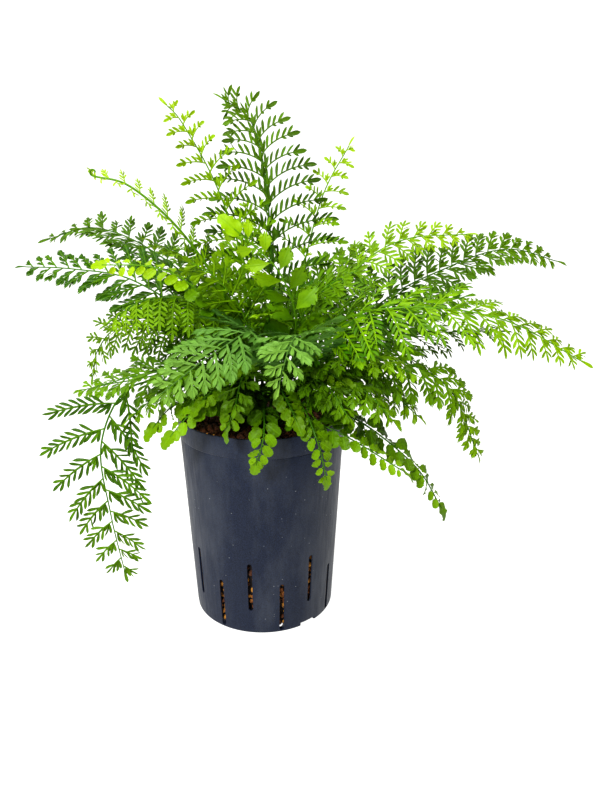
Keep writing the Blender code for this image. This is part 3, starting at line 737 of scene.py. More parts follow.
# The tiers of fronds: name, degrees down the side of the crown where they start, and for
# each frond its number and the rest of its plan.
TIERS = (
    # Upright fronds from the top of the crown.
    ("tall", 14.0, (
        (1, Habit.FEATHER, Tone.DEEP, 60, 30, 0.058, 0.36,
         ((10, 10, 290), (6, 20, 380), (-6, 26, 432), (-31, 30, 451)), 0.35),
        (2, Habit.LACY, Tone.LIME, 150, -30, 0.040, 0.42,
         ((-6, 0, 290), (-30, -10, 376), (-56, -15, 428), (-70, -15, 444)), 0.15),
        (3, Habit.LACY, Tone.LIME, 20, 40, 0.034, 0.42,
         ((30, 10, 286), (52, 20, 370), (76, 20, 416)), 0.15),
        (4, Habit.BROAD, Tone.MID, 235, 20, 0.024, 0.40,
         ((-14, -26, 245), (-25, -38, 290), (-26, -44, 335))),
        (5, Habit.BROAD, Tone.MID, 110, 0, 0.036, 0.40,
         ((-14, 50, 270), (-20, 84, 330), (-16, 104, 362))),
    )),
    # Young fronds whose tips are still coiled.
    ("unfurling", 30.0, (
        (1, Habit.CURLED, Tone.LIME, 212, -55, 0.025, 0.40,
         ((-24, -20, 284), (-56, -30, 344), (-94, -37, 382), (-123, -40, 391))),
        (2, Habit.CURLED, Tone.LIME, 75, 0, 0.014, 0.45,
         ((24, 60, 262), (34, 84, 300), (42, 100, 318))),
    )),
    # The upper ring, arching out above the rest.
    ("upper", 34.0, (
        (1, Habit.JUVENILE, Tone.LIME, 275, 180, 0.030, 0.42,
         ((30, -46, 268), (20, -68, 320), (-14, -74, 355)), 0.35),
        (2, Habit.BROAD, Tone.LIME, 182, 20, 0.030, 0.42,
         ((-25, -12, 278), (-55, -22, 322), (-87, -24, 341)), 0.4),
        (3, Habit.COMB, Tone.LIME, 355, 50, 0.034, 0.36,
         ((44, 8, 268), (88, 18, 317), (126, 20, 338), (180, 20, 342)), 0.2),
        (4, Habit.FAN, Tone.DEEP, 30, 35, 0.034, 0.40,
         ((30, 40, 262), (62, 56, 302), (100, 64, 326))),
        (5, Habit.COMB, Tone.MID, 135, 0, 0.040, 0.36,
         ((-40, 50, 276), (-84, 92, 318), (-124, 124, 320))),
        (6, Habit.YOUNG, Tone.LIME, 228, -50, 0.020, 0.50,
         ((-22, -38, 268), (-48, -52, 308), (-78, -54, 324), (-118, -54, 326))),
        (7, Habit.FAN, Tone.MID, 308, 70, 0.030, 0.42,
         ((32, -26, 270), (54, -44, 306), (80, -52, 322)), 0.3),
        (8, Habit.LOBED, Tone.LIME, 244, 40, 0.034, 0.42,
         ((-8, -36, 272), (-26, -56, 312), (-48, -66, 330)), 0.5),
    )),
    # The main ring of arching fronds.
    ("arching", 52.0, (
        (1, Habit.PLUME, Tone.DEEP, 157, -34, 0.034, 0.34,
         ((-50, 30, 282), (-102, 50, 326), (-154, 60, 344), (-198, 60, 333)), 0.5),
        (2, Habit.WEDGED, Tone.MID, 184, -40, 0.042, 0.34,
         ((-56, 0, 266), (-106, 0, 305), (-156, 0, 315), (-200, 0, 317)), 1.0),
        (3, Habit.COMB, Tone.LIME, 335, 25, 0.054, 0.26,
         ((60, -30, 270), (114, -55, 293), (188, -70, 287), (252, -80, 255)), 0.4),
        (4, Habit.FAN, Tone.DEEP, 14, 45, 0.036, 0.36,
         ((100, 30, 275), (170, 50, 310), (224, 58, 325), (274, 60, 313)), 0.25),
        (5, Habit.BROAD, Tone.MID, 0, 35, 0.040, 0.34,
         ((60, 2, 246), (118, 2, 275), (178, 2, 292)), 0.8),
        (6, Habit.TRAILING, Tone.DEEP, 35, 20, 0.046, 0.34,
         ((90, 50, 234), (156, 80, 241), (240, 92, 240)), 0.5),
        (7, Habit.BROAD, Tone.MID, 345, 30, 0.042, 0.30,
         ((68, -20, 250), (118, -30, 243), (159, -40, 221), (186, -45, 163))),
        (8, Habit.DRAPED, Tone.MID, 212, -10, 0.056, 0.30,
         ((-22, -30, 276), (-54, -42, 296), (-88, -52, 298), (-118, -60, 280))),
        (9, Habit.DRAPED, Tone.DEEP, 170, -20, 0.042, 0.34,
         ((-46, 14, 244), (-92, 20, 262), (-138, 20, 264))),
        (10, Habit.COMB, Tone.DEEP, 60, 0, 0.050, 0.34,
         ((50, 80, 262), (84, 140, 284), (108, 190, 262))),
        (11, Habit.BROAD, Tone.MID, 92, 0, 0.048, 0.34,
         ((0, 80, 262), (-4, 150, 286), (-8, 208, 256))),
        (12, Habit.COMB, Tone.MID, 128, 0, 0.050, 0.34,
         ((-50, 74, 254), (-96, 130, 270), (-134, 172, 244))),
    )),
    # Fronds over the front of the pot.
    ("front", 66.0, (
        (1, Habit.LOBED, Tone.GREY, 270, -10, 0.044, 0.36,
         ((2, -62, 272), (-28, -98, 268), (-68, -120, 241))),
        (2, Habit.LOBED, Tone.GREY, 296, 0, 0.042, 0.42,
         ((32, -84, 272), (27, -120, 278), (19, -140, 253))),
        (3, Habit.LOBED, Tone.MID, 225, 0, 0.034, 0.36,
         ((-36, -40, 234), (-80, -60, 242), (-130, -60, 230)), 0.4),
        (4, Habit.BROAD, Tone.MID, 315, 10, 0.036, 0.34,
         ((50, -40, 240), (88, -64, 256), (124, -76, 244))),
        (5, Habit.LOBED, Tone.DEEP, 256, 0, 0.034, 0.36,
         ((-4, -50, 236), (-10, -84, 244), (-14, -110, 228)), 0.4),
        (6, Habit.LOBED, Tone.MID, 304, 0, 0.034, 0.34,
         ((32, -44, 230), (54, -76, 236), (72, -98, 216)), 0.4),
        (7, Habit.BROAD, Tone.MID, 214, 0, 0.032, 0.34,
         ((-38, -28, 222), (-74, -50, 224), (-104, -66, 204)), 0.3),
        (8, Habit.COMB, Tone.MID, 280, 0, 0.030, 0.42,
         ((8, -36, 262), (10, -62, 288), (4, -84, 292))),
    )),
    # Fronds that pass over the rim and hang beside the pot.
    ("hanging", 78.0, (
        (1, Habit.HANGING, Tone.MID, 200, -70, 0.052, 0.43,
         ((-60, -30, 222), (-104, -55, 227), (-128, -65, 182), (-124, -70, 122),
          (-116, -70, 64)), 0.5),
        (2, Habit.COMB, Tone.DEEP, 155, -75, 0.034, 0.38,
         ((-72, 34, 250), (-130, 44, 256), (-156, 48, 233), (-164, 48, 204))),
    )),
    # Low fronds that pass over the rim.
    ("low", 74.0, (
        (1, Habit.LOBED, Tone.MID, 184, -30, 0.032, 0.42,
         ((-62, -8, 224), (-117, -20, 222), (-155, -20, 214)), 0.4),
        (2, Habit.COMB, Tone.DEEP, 20, 20, 0.022, 0.46,
         ((60, 22, 216), (98, 34, 206), (117, 36, 168))),
        (4, Habit.BROAD, Tone.MID, 340, 15, 0.034, 0.36,
         ((56, -20, 226), (100, -34, 224), (136, -42, 196))),
        (5, Habit.BROAD, Tone.MID, 324, 10, 0.034, 0.36,
         ((46, -44, 230), (80, -74, 234), (108, -92, 210)), 0.3),
        (3, Habit.BROAD, Tone.MID, 100, 0, 0.040, 0.36,
         ((-10, 70, 222), (-20, 120, 222), (-26, 158, 180))),
    )),
    # Young fronds with rounded leaflets, low around the foot.
    ("young", 87.0, (
        (1, Habit.YOUNG, Tone.DEEP, 332, 10, 0.024, 0.40,
         ((43, -40, 204), (79, -68, 205), (125, -84, 172), (148, -90, 137))),
        (2, Habit.YOUNG, Tone.MID, 302, 0, 0.022, 0.36,
         ((34, -62, 204), (70, -88, 198), (115, -102, 174))),
        (3, Habit.YOUNG, Tone.MID, 272, 0, 0.022, 0.40,
         ((5, -62, 212), (6, -92, 199), (0, -94, 176))),
        (4, Habit.YOUNG, Tone.MID, 288, 0, 0.020, 0.46,
         ((32, -68, 218), (47, -96, 199), (55, -98, 165))),
        (5, Habit.YOUNG, Tone.MID, 228, 0, 0.026, 0.36,
         ((-27, -52, 217), (-50, -77, 214), (-68, -84, 196))),
        (6, Habit.YOUNG, Tone.DEEP, 258, 0, 0.026, 0.36,
         ((-10, -50, 220), (-15, -75, 222), (-22, -90, 206))),
        (7, Habit.YOUNG, Tone.DEEP, 40, 0, 0.026, 0.36,
         ((52, 46, 216), (84, 74, 200), (96, 86, 172))),
        (8, Habit.YOUNG, Tone.MID, 140, 0, 0.026, 0.36,
         ((-50, 42, 216), (-80, 70, 204), (-96, 86, 178))),
        (9, Habit.YOUNG, Tone.MID, 243, 0, 0.026, 0.36,
         ((-18, -46, 222), (-34, -64, 228), (-44, -80, 222))),
        (10, Habit.YOUNG, Tone.DEEP, 280, 0, 0.024, 0.40,
         ((14, -50, 226), (24, -78, 224), (32, -94, 212))),
        (11, Habit.YOUNG, Tone.MID, 317, 0, 0.024, 0.40,
         ((46, -42, 216), (70, -64, 212), (88, -78, 192))),
        (12, Habit.YOUNG, Tone.MID, 213, 0, 0.026, 0.38,
         ((-44, -30, 211), (-70, -50, 210), (-86, -62, 195))),
        (13, Habit.YOUNG, Tone.DEEP, 266, 0, 0.026, 0.38,
         ((-3, -46, 240), (-12, -66, 250), (-26, -84, 246))),
        (14, Habit.YOUNG, Tone.MID, 310, 0, 0.026, 0.38,
         ((34, -38, 238), (52, -58, 244), (70, -74, 236))),
    )),
)
FRONDS = tuple(FrondPlan(f"{tier}_frond_{row[0]}", polar, *row[1:])
               for tier, polar, rows in TIERS for row in rows)


# --- Fronds ------------------------------------------------------------------------------


@dataclass
class Crown:
    """The scaly rhizome that every frond grows from."""

    scale_length: float = 7.0 * MM
    scale_half: float = 0.9 * MM
    scale_count: int = 420
    scale_bed: float = 0.8 * MM
    dome_inset: float = 1.0 * MM

    # Successive scales stand a golden angle apart, as leaf bases do.
    GOLDEN_ANGLE = 137.5
    SCALE = LobeShape(6, 3, 0.7, 0.3, 0.15, 0.1, fold=0.3, hook=-0.25)

    def __post_init__(self) -> None:
        """Read the crown's place and size from the frame."""
        low, high = (np.array(corner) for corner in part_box("crown"))
        self.base = float(low[2])
        self.height = float(high[2] - low[2])
        self.radius = float(0.5 * (high[0] - low[0]))

    def point(self, heading: float, polar: float, gap: float = 0.0) -> np.ndarray:
        """Find a point on the dome.

        Args:
            heading: Compass direction in degrees, 0 toward +X.
            polar: Degrees down from the top.
            gap: Clearance from the surface.

        Returns:
            The point.
        """
        turn, down = math.radians(heading), math.radians(polar)
        out = self.radius * math.sin(down) + gap
        return np.array(around(out, turn, self.base + self.height * math.cos(down) + gap))

    def build(self) -> None:
        """Build the dome with its overlapping scales."""
        rng = np.random.default_rng(31)
        draft = MeshDraft()
        rings, spokes, skirt = 12, 40, 104.0
        polar = np.linspace(0.0, skirt, rings)
        heading = np.linspace(0.0, 360.0, spokes + 1)
        dome = np.array([[self.point(turn, down, -self.dome_inset) for turn in heading]
                         for down in polar])
        layout = np.zeros((rings, spokes + 1, 2))
        draft.add_grids(dome[None], layout, np.array([[0.1, 0.0, 0.0]]))
        scales = LobeBatch(self.SCALE)
        for index in range(self.scale_count):
            down = 88.0 * math.sqrt((index + 0.5) / self.scale_count)
            turn = self.GOLDEN_ANGLE * index + rng.normal(0.0, 6.0)
            foot = self.point(turn, down, -self.scale_bed)
            outward = unit(foot - np.array([0.0, 0.0, self.base - 6.0 * MM]))
            upward = unit(-DOWN - outward * outward[2] + rng.normal(0.0, 0.45, 3))
            forward = unit(upward * 0.8 + outward * 0.65)
            length = self.scale_length * rng.uniform(0.6, 1.15)
            scales.add(foot, forward, outward, (length, self.scale_half, 0.0),
                       (rng.uniform(0.0, 1.0), 0.0, 0.0))
        scales.lay(draft)
        fit_to_frame(draft.build("scaly_crown", SCALES.material()), "crown_scales", "crown")


class Rachis:
    """The midrib of one frond: a smooth path with a frame that carries the blade."""

    # The coil at the tip of a frond that is unfurling, and how far it tightens.
    CURL_RADIUS = 2.6 * MM
    CURL_TURN = 280.0
    CURL_TIGHTENS = 0.45
    CURL_SAMPLES = 30
    # How far below the crown's surface a stalk starts.
    ROOTED = 0.6 * MM
    # Half of the length over which the rachis's direction is taken.
    SIGHT, CURL_SIGHT = 4.0 * MM, 1.5 * MM

    def __init__(self, plan: FrondPlan, crown: Crown) -> None:
        """Lay the path from the crown through the plan's route.

        Args:
            plan: The frond's plan.
            crown: The crown that it grows from.
        """
        foot = crown.point(plan.heading, plan.polar, -self.ROOTED)
        route = np.vstack([foot[None], np.array(plan.route, dtype=float) * MM])
        path = self.spline(route)
        if plan.habit is Habit.CURLED:
            path = self.curl(path)
        steps = np.linalg.norm(np.diff(path, axis=0), axis=1)
        self.plan = plan
        self.path = path
        self.lengths = np.concatenate([[0.0], np.cumsum(steps)])
        self.length = float(self.lengths[-1])

    @staticmethod
    def spline(points: np.ndarray, samples: int = 14) -> np.ndarray:
        """Draw a Catmull-Rom curve through points.

        Args:
            points: Points to pass through.
            samples: Steps between neighbouring points.

        Returns:
            The sampled curve.
        """
        ends = np.vstack([2.0 * points[0] - points[1], points, 2.0 * points[-1] - points[-2]])
        t = (np.arange(samples) / samples)[:, None]
        runs = []
        for before, start, stop, after in zip(ends, ends[1:], ends[2:], ends[3:]):
            runs.append(0.5 * (2.0 * start + (stop - before) * t
                               + (2.0 * before - 5.0 * start + 4.0 * stop - after) * t ** 2
                               + (3.0 * start - before - 3.0 * stop + after) * t ** 3))
        return np.vstack(runs + [points[-1:]])

    def curl(self, path: np.ndarray) -> np.ndarray:
        """Extend a path by the open coil of a tip that has not unfurled.

        Args:
            path: The path up to the coil.

        Returns:
            The longer path.
        """
        along = unit(path[-1] - path[-2])
        side = unit(np.cross(along, (0.0, 1.0, 0.0)))
        upward = side if side[2] > 0.0 else -side
        centre = path[-1] + upward * self.CURL_RADIUS
        step = np.linspace(0.0, 1.0, self.CURL_SAMPLES)[1:, None]
        turn = math.radians(self.CURL_TURN) * step
        radius = self.CURL_RADIUS * (1.0 - self.CURL_TIGHTENS * step)
        coil = centre + radius * (along * np.sin(turn) - upward * np.cos(turn))
        return np.vstack([path, coil])

    def at(self, distance: float) -> tuple[np.ndarray, np.ndarray, np.ndarray, np.ndarray]:
        """Find the frame at a distance along the rachis.

        Args:
            distance: Metres from the crown.

        Returns:
            Origin, tangent, side and normal.
        """
        reach = self.CURL_SIGHT if self.plan.habit is Habit.CURLED else self.SIGHT
        wanted = (distance, min(distance + reach, self.length), max(distance - reach, 0.0))
        origin, ahead, behind = (
            np.array([np.interp(value, self.lengths, self.path[:, axis]) for axis in range(3)])
            for value in wanted)
        tangent = unit(ahead - behind)
        turn, roll = math.radians(self.plan.heading), math.radians(self.plan.roll)
        level = np.array([-math.sin(turn), math.cos(turn), 0.0])
        side = unit(level - tangent * level.dot(tangent))
        normal = np.cross(tangent, side)
        side = side * math.cos(roll) + normal * math.sin(roll)
        return origin, tangent, side, np.cross(tangent, side)


@dataclass(frozen=True)
class Station:
    """Where a pinna leaves the rachis.

    Distance is in metres from the crown, side is -1 or 1, and share is the place along the
    blade, from 0 at its foot to 1 at the frond's tip.
    """

    distance: float
    side: int
    share: float


@dataclass(frozen=True)
class Costa:
    """The midrib of one pinna, as rows of points and directions from foot to end.

    Way runs along it, onward across it toward the frond's tip, and upward is its normal.
    """

    points: np.ndarray
    way: np.ndarray
    onward: np.ndarray
    upward: np.ndarray


class Frond:
    """One frond: rachis, pinnae and lobes, all in one mesh."""

    # Radii of the rachis, its facets and the depth of the groove along its upper side.
    FOOT_RADIUS = 1.15 * MM
    TIP_RADIUS = 0.45 * MM
    STEM_SIDES = 8
    STEM_GROOVE = 0.45
    # Ring spacing along the rachis, closer where its tip is coiled.
    RING_SPACING, COIL_SPACING = 4.0 * MM, 1.0 * MM
    # The last pinna's place along the blade.
    TIP_SHARE = 0.97
    # Lobes within this reach of the crown's top get painted shade: their tint darkens by up to
    # the depth below and their new-growth colour fades, standing in for the plant's own shade.
    SHADED_REACH = 100.0 * MM
    SHADE_DEPTH = 0.5
    # Each lobe twists a little on its own, and old fronds lose their brightness.
    TWIST = 0.32
    FADING = 0.7
    # A pinna of this length has lobes of full size.
    FULL_PINNA = 34.0 * MM
    COSTA_STEPS = 9
    COSTA_FOOT = 0.70 * MM
    COSTA_TAPER = 0.38 * MM
    # Swing in degrees and relative length of the three parts of a split lobe.
    FORK = ((24.0, 0.80), (0.0, 1.05), (-22.0, 0.85))
    # Sideways bow of a lobe toward the pinna's end, and of a leaflet, by length.
    LOBE_BOW = 0.09
    LEAFLET_BOW = 0.05
    STALK_LENGTH = 2.2 * MM
    STALK_RADIUS = 0.36 * MM

    def __init__(self, plan: FrondPlan, crown: Crown, seed: int) -> None:
        """Prepare a frond.

        Args:
            plan: Its plan.
            crown: The crown that it grows from.
            seed: Seed of its own small irregularities.
        """
        self.plan = plan
        self.style: PinnaStyle = plan.habit.value
        self.rachis = Rachis(plan, crown)
        self.rng = np.random.default_rng(seed)
        self.cast = self.rng.uniform(-0.1, 0.3) - self.FADING * plan.maturity
        self.heart = crown.point(0.0, 0.0)
        self.draft = MeshDraft()
        self.batches: dict[LobeShape, LobeBatch] = {}

    def lobe(self, shape: LobeShape, foot: np.ndarray, forward: np.ndarray,
             upward: np.ndarray, size: tuple[float, float, float], age: float) -> None:
        """Queue a lobe with its own tint, painted shade near the crown and toward the frond's
        foot, and a slight twist.

        Args:
            shape: Lobe shape.
            foot: Where it grows from.
            forward: Its direction.
            upward: Its upper face's direction.
            size: Length, half width and sideways bow.
            age: How young it is, from 0 at the frond's foot to 1 at its tip.
        """
        batch = self.batches.setdefault(shape, LobeBatch(shape))
        twist = self.rng.normal(0.0, self.TWIST, 3)
        # Painted shade: lobes near the crown's top are tinted darker and lose their new-growth
        # colour.
        inner = max(0.0, 1.0 - float(np.linalg.norm(foot - self.heart)) / self.SHADED_REACH)
        # Painted shade: lobes toward the frond's foot, deep inside the plant, are tinted
        # darker.
        tint = self.cast - 0.25 * (1.0 - age) ** 1.5 + self.rng.uniform(0.0, 0.9)
        tint = float(np.clip(tint, 0.0, 1.0)) * (1.0 - self.SHADE_DEPTH * inner)
        batch.add(foot, forward, upward + twist, size,
                  (tint, self.youth(age) * (1.0 - inner), 0.0))

    def youth(self, age: float) -> float:
        """Age mark at a share of the blade, less on a mature frond."""
        return age * (1.0 - self.plan.maturity)

    @staticmethod
    def outline(share: float) -> float:
        """Relative pinna length along the blade, lanceolate with a short base."""
        return (0.70 + 0.30 * min(1.0, share / 0.20)) * (1.0 - share) ** 0.82 * 1.12 + 0.07

    def radius_at(self, share: float) -> float:
        """Radius of the rachis at a share of its length."""
        taper = self.FOOT_RADIUS + (self.TIP_RADIUS - self.FOOT_RADIUS) * share ** 0.8
        return taper * self.style.stout

    def build_stem(self) -> None:
        """Lay the grooved stalk and rachis."""
        spacing = self.COIL_SPACING if self.style.hooked else self.RING_SPACING
        rows = max(14, round(self.rachis.length / spacing))
        distances = np.linspace(0.0, self.rachis.length, rows)
        frames = [self.rachis.at(distance) for distance in distances]
        path, _, across, upward = (np.array(layer) for layer in zip(*frames))
        radii = np.array([self.radius_at(distance / self.rachis.length)
                          for distance in distances])
        radii[-1] *= 0.4
        self.draft.add_tube(path, across, upward, radii, self.STEM_SIDES, (0.35, 0.0, 0.85),
                            groove=self.STEM_GROOVE)

    def trace_costa(self, station: Station, size: float) -> Costa:
        """Trace the costa of one pinna.

        Args:
            station: Where it leaves the rachis.
            size: Its length.

        Returns:
            The costa, which leans toward the frond's tip and sags under its own weight.
        """
        origin, tangent, across, normal = self.rachis.at(station.distance)
        style, near = self.style, station.side > 0
        share = (np.arange(self.COSTA_STEPS) + 0.5) / self.COSTA_STEPS
        turned = style.stand[1] + style.hooked * near - style.stand[0]
        lean = np.radians(style.near_lean * near + style.stand[0] + turned * share ** 0.8
                          + self.rng.normal(0.0, 3.0))
        lift = math.radians(self.rng.normal(4.0, 7.0))
        outward = across * station.side
        way = tangent * np.cos(lean)[:, None] + outward * np.sin(lean)[:, None]
        way = way * math.cos(lift) + normal * math.sin(lift)
        weight = style.sag * self.rng.uniform(0.6, 1.4) * (size / 0.04) ** 0.5
        way = unit(way + DOWN * (weight * share ** 0.9)[:, None])
        steps = np.cumsum(way * size / self.COSTA_STEPS, axis=0)
        points = origin + np.vstack([np.zeros((1, 3)), steps])
        way = np.vstack([way, way[-1:]])
        upward = unit(normal - way * (way @ normal)[:, None])
        onward = np.cross(upward, way)
        return Costa(points, way, onward * np.sign(onward @ tangent)[:, None], upward)

    def grow_pinna(self, station: Station) -> None:
        """Grow one pinna with its costa, wing and lobes.

        Args:
            station: Where it leaves the rachis.
        """
        style, share = self.style, station.share
        size = self.plan.width * self.outline(share) * self.rng.uniform(0.92, 1.06)
        size *= style.near_size if station.side > 0 else 1.0
        full = min(1.0, (size / self.FULL_PINNA) ** 0.28)
        costa = self.trace_costa(station, size)
        span = np.linspace(0.0, 1.0, len(costa.points))
        radii = (self.COSTA_FOOT - self.COSTA_TAPER * span) * (0.6 + 0.4 * full)
        self.draft.add_tube(costa.points, costa.onward, costa.upward, radii, 5,
                            (0.7, self.youth(share), 0.15))
        if style.wing:
            self.grow_wing(costa, span, full, share)
        count = max(1, round(size / (style.lobe_pitch * (0.5 + 0.5 * full))))
        for index in range(count):
            place = (index + 0.55) / (count + 0.35)
            fork = place < style.forked or (style.forked > 0 and index == 0)
            for edge in (1, -1):
                vigour = 1.0
                if edge < 0:
                    vigour = style.lower[0] + (style.lower[1] - style.lower[0]) * place
                    if vigour < 0.25 or index == 0:
                        continue
                taper = (1.0 - 0.30 * place) * vigour * full * self.rng.uniform(0.88, 1.10)
                self.grow_lobe(costa, place, edge, taper, share, fork)
        length = style.lobe_length * full * 0.72
        half = style.lobe_half * full * (1.5 if style.tip_shape is not LINEAR else 0.9)
        end = costa.way[-1]
        self.lobe(style.tip_shape, costa.points[-1] - end * 0.4 * length, end,
                  costa.upward[-1], (length * 1.25, half, 0.0), share)

    def grow_lobe(self, costa: Costa, place: float, edge: int, taper: float, share: float,
                  fork: bool) -> None:
        """Set one lobe, or one that is split in three, on the edge of a pinna.

        Args:
            costa: The pinna's costa.
            place: Share of the costa's length where the lobe stands.
            edge: 1 on the side toward the frond's tip, -1 on the other.
            taper: Relative size.
            share: Place of the pinna along the blade.
            fork: Whether the lobe is split in three.
        """
        style = self.style
        at = place * (len(costa.points) - 1)
        low = min(int(at), len(costa.points) - 2)
        part = at - low
        foot = costa.points[low] * (1.0 - part) + costa.points[low + 1] * part
        heading, across = costa.way[low], costa.onward[low] * edge
        normal = costa.upward[low]
        angle = style.lobe_angle[0] + (style.lobe_angle[1] - style.lobe_angle[0]) * place
        for swing, scale in self.FORK if fork else ((0.0, 1.0),):
            lean = math.radians(angle + swing + self.rng.normal(0.0, 3.5))
            forward = heading * math.cos(lean) + across * math.sin(lean)
            length = style.lobe_length * taper * scale
            half = style.lobe_half * (0.55 + 0.45 * taper) * (0.9 if fork else 1.0)
            bow = np.sign(np.dot(np.cross(normal, forward), heading)) * self.LOBE_BOW
            self.lobe(style.shape, foot, forward, normal, (length, half, bow * length), share)

    def grow_wing(self, costa: Costa, span: np.ndarray, full: float, share: float) -> None:
        """Lay the narrow blade that joins the lobes along a costa.

        Args:
            costa: The pinna's costa.
            span: Share of its length at each of its points.
            full: Relative size of the pinna.
            share: Place of the pinna along the blade.
        """
        half = self.style.wing * full * (0.55 + 0.45 * np.sin(math.pi * span))
        columns = np.array([-1.0, 0.0, 1.0])
        spread = (columns[None] * half[:, None])[..., None]
        raised = (0.25 * half[:, None] * np.abs(columns))[..., None]
        strip = (costa.points[:, None] + costa.onward[:, None] * spread
                 + costa.upward[:, None] * raised)
        facing = np.dot(np.cross(costa.points[1] - costa.points[0], costa.onward[0]),
                        costa.upward[0])
        strip = strip if facing > 0.0 else strip[:, ::-1]
        marks = np.array([[self.rng.uniform(0.3, 0.7), self.youth(share), 0.0]])
        self.draft.add_grids(strip[None], vein_grid(columns, span), marks)

    def grow_leaflet(self, station: Station) -> None:
        """Grow one rounded leaflet on a short stalk.

        Args:
            station: Where it leaves the rachis.
        """
        style = self.style
        size = style.lobe_length * self.plan.width * self.outline(station.share) ** 0.5
        size *= self.rng.uniform(0.85, 1.1)
        costa = self.trace_costa(station, self.STALK_LENGTH)
        self.draft.add_tube(costa.points, np.cross(costa.way, costa.upward), costa.upward,
                            np.full(len(costa.points), self.STALK_RADIUS), 5,
                            (0.5, station.share, 0.5))
        half = size * style.lobe_half * self.rng.uniform(0.9, 1.1)
        droop = DOWN * style.sag * self.rng.uniform(0.2, 1.2)
        self.lobe(style.shape, costa.points[-1], costa.way[-1] + droop, costa.upward[-1],
                  (size, half, -station.side * self.LEAFLET_BOW * size), station.share)

    def stations(self) -> list[Station]:
        """Place the pinnae: alternate, and closer together toward the tip.

        Returns:
            Where each pinna leaves the rachis, from the foot of the blade to its tip.
        """
        start = self.plan.bare * self.rachis.length * self.style.leafy_from
        blade = self.rachis.length - start
        placed = []
        distance, side = start, 1
        while distance < start + blade * self.TIP_SHARE:
            share = (distance - start) / blade
            placed.append(Station(distance, side, share))
            distance += 0.5 * self.style.pitch * (1.0 - self.style.crowding * share)
            side = -side
        return placed

    def build(self, materials: dict[Tone, bpy.types.Material]) -> None:
        """Build the frond and fit it to the frame.

        Args:
            materials: The leaf material of each tone.
        """
        self.build_stem()
        whole_leaflets = self.style.lobe_pitch == 0.0
        grow = self.grow_leaflet if whole_leaflets else self.grow_pinna
        for station in self.stations():
            grow(station)
        if whole_leaflets:
            end, age = (self.plan.width * 0.66, self.plan.width * 0.22, 0.0), 0.75
        else:
            end, age = (self.style.lobe_length * 0.9, self.style.lobe_half, 0.0), 1.0
        origin, tangent, _, normal = self.rachis.at(self.rachis.length)
        self.lobe(self.style.tip_shape, origin - tangent * 0.3 * end[0], tangent, normal, end,
                  age)
        for batch in self.batches.values():
            batch.lay(self.draft)
        piece = self.draft.build(f"{self.plan.node}_foliage", materials[self.plan.tone])
        fit_to_frame(piece, self.plan.tone.value.slot, self.plan.node)


# --- Pot and fill ------------------------------------------------------------------------


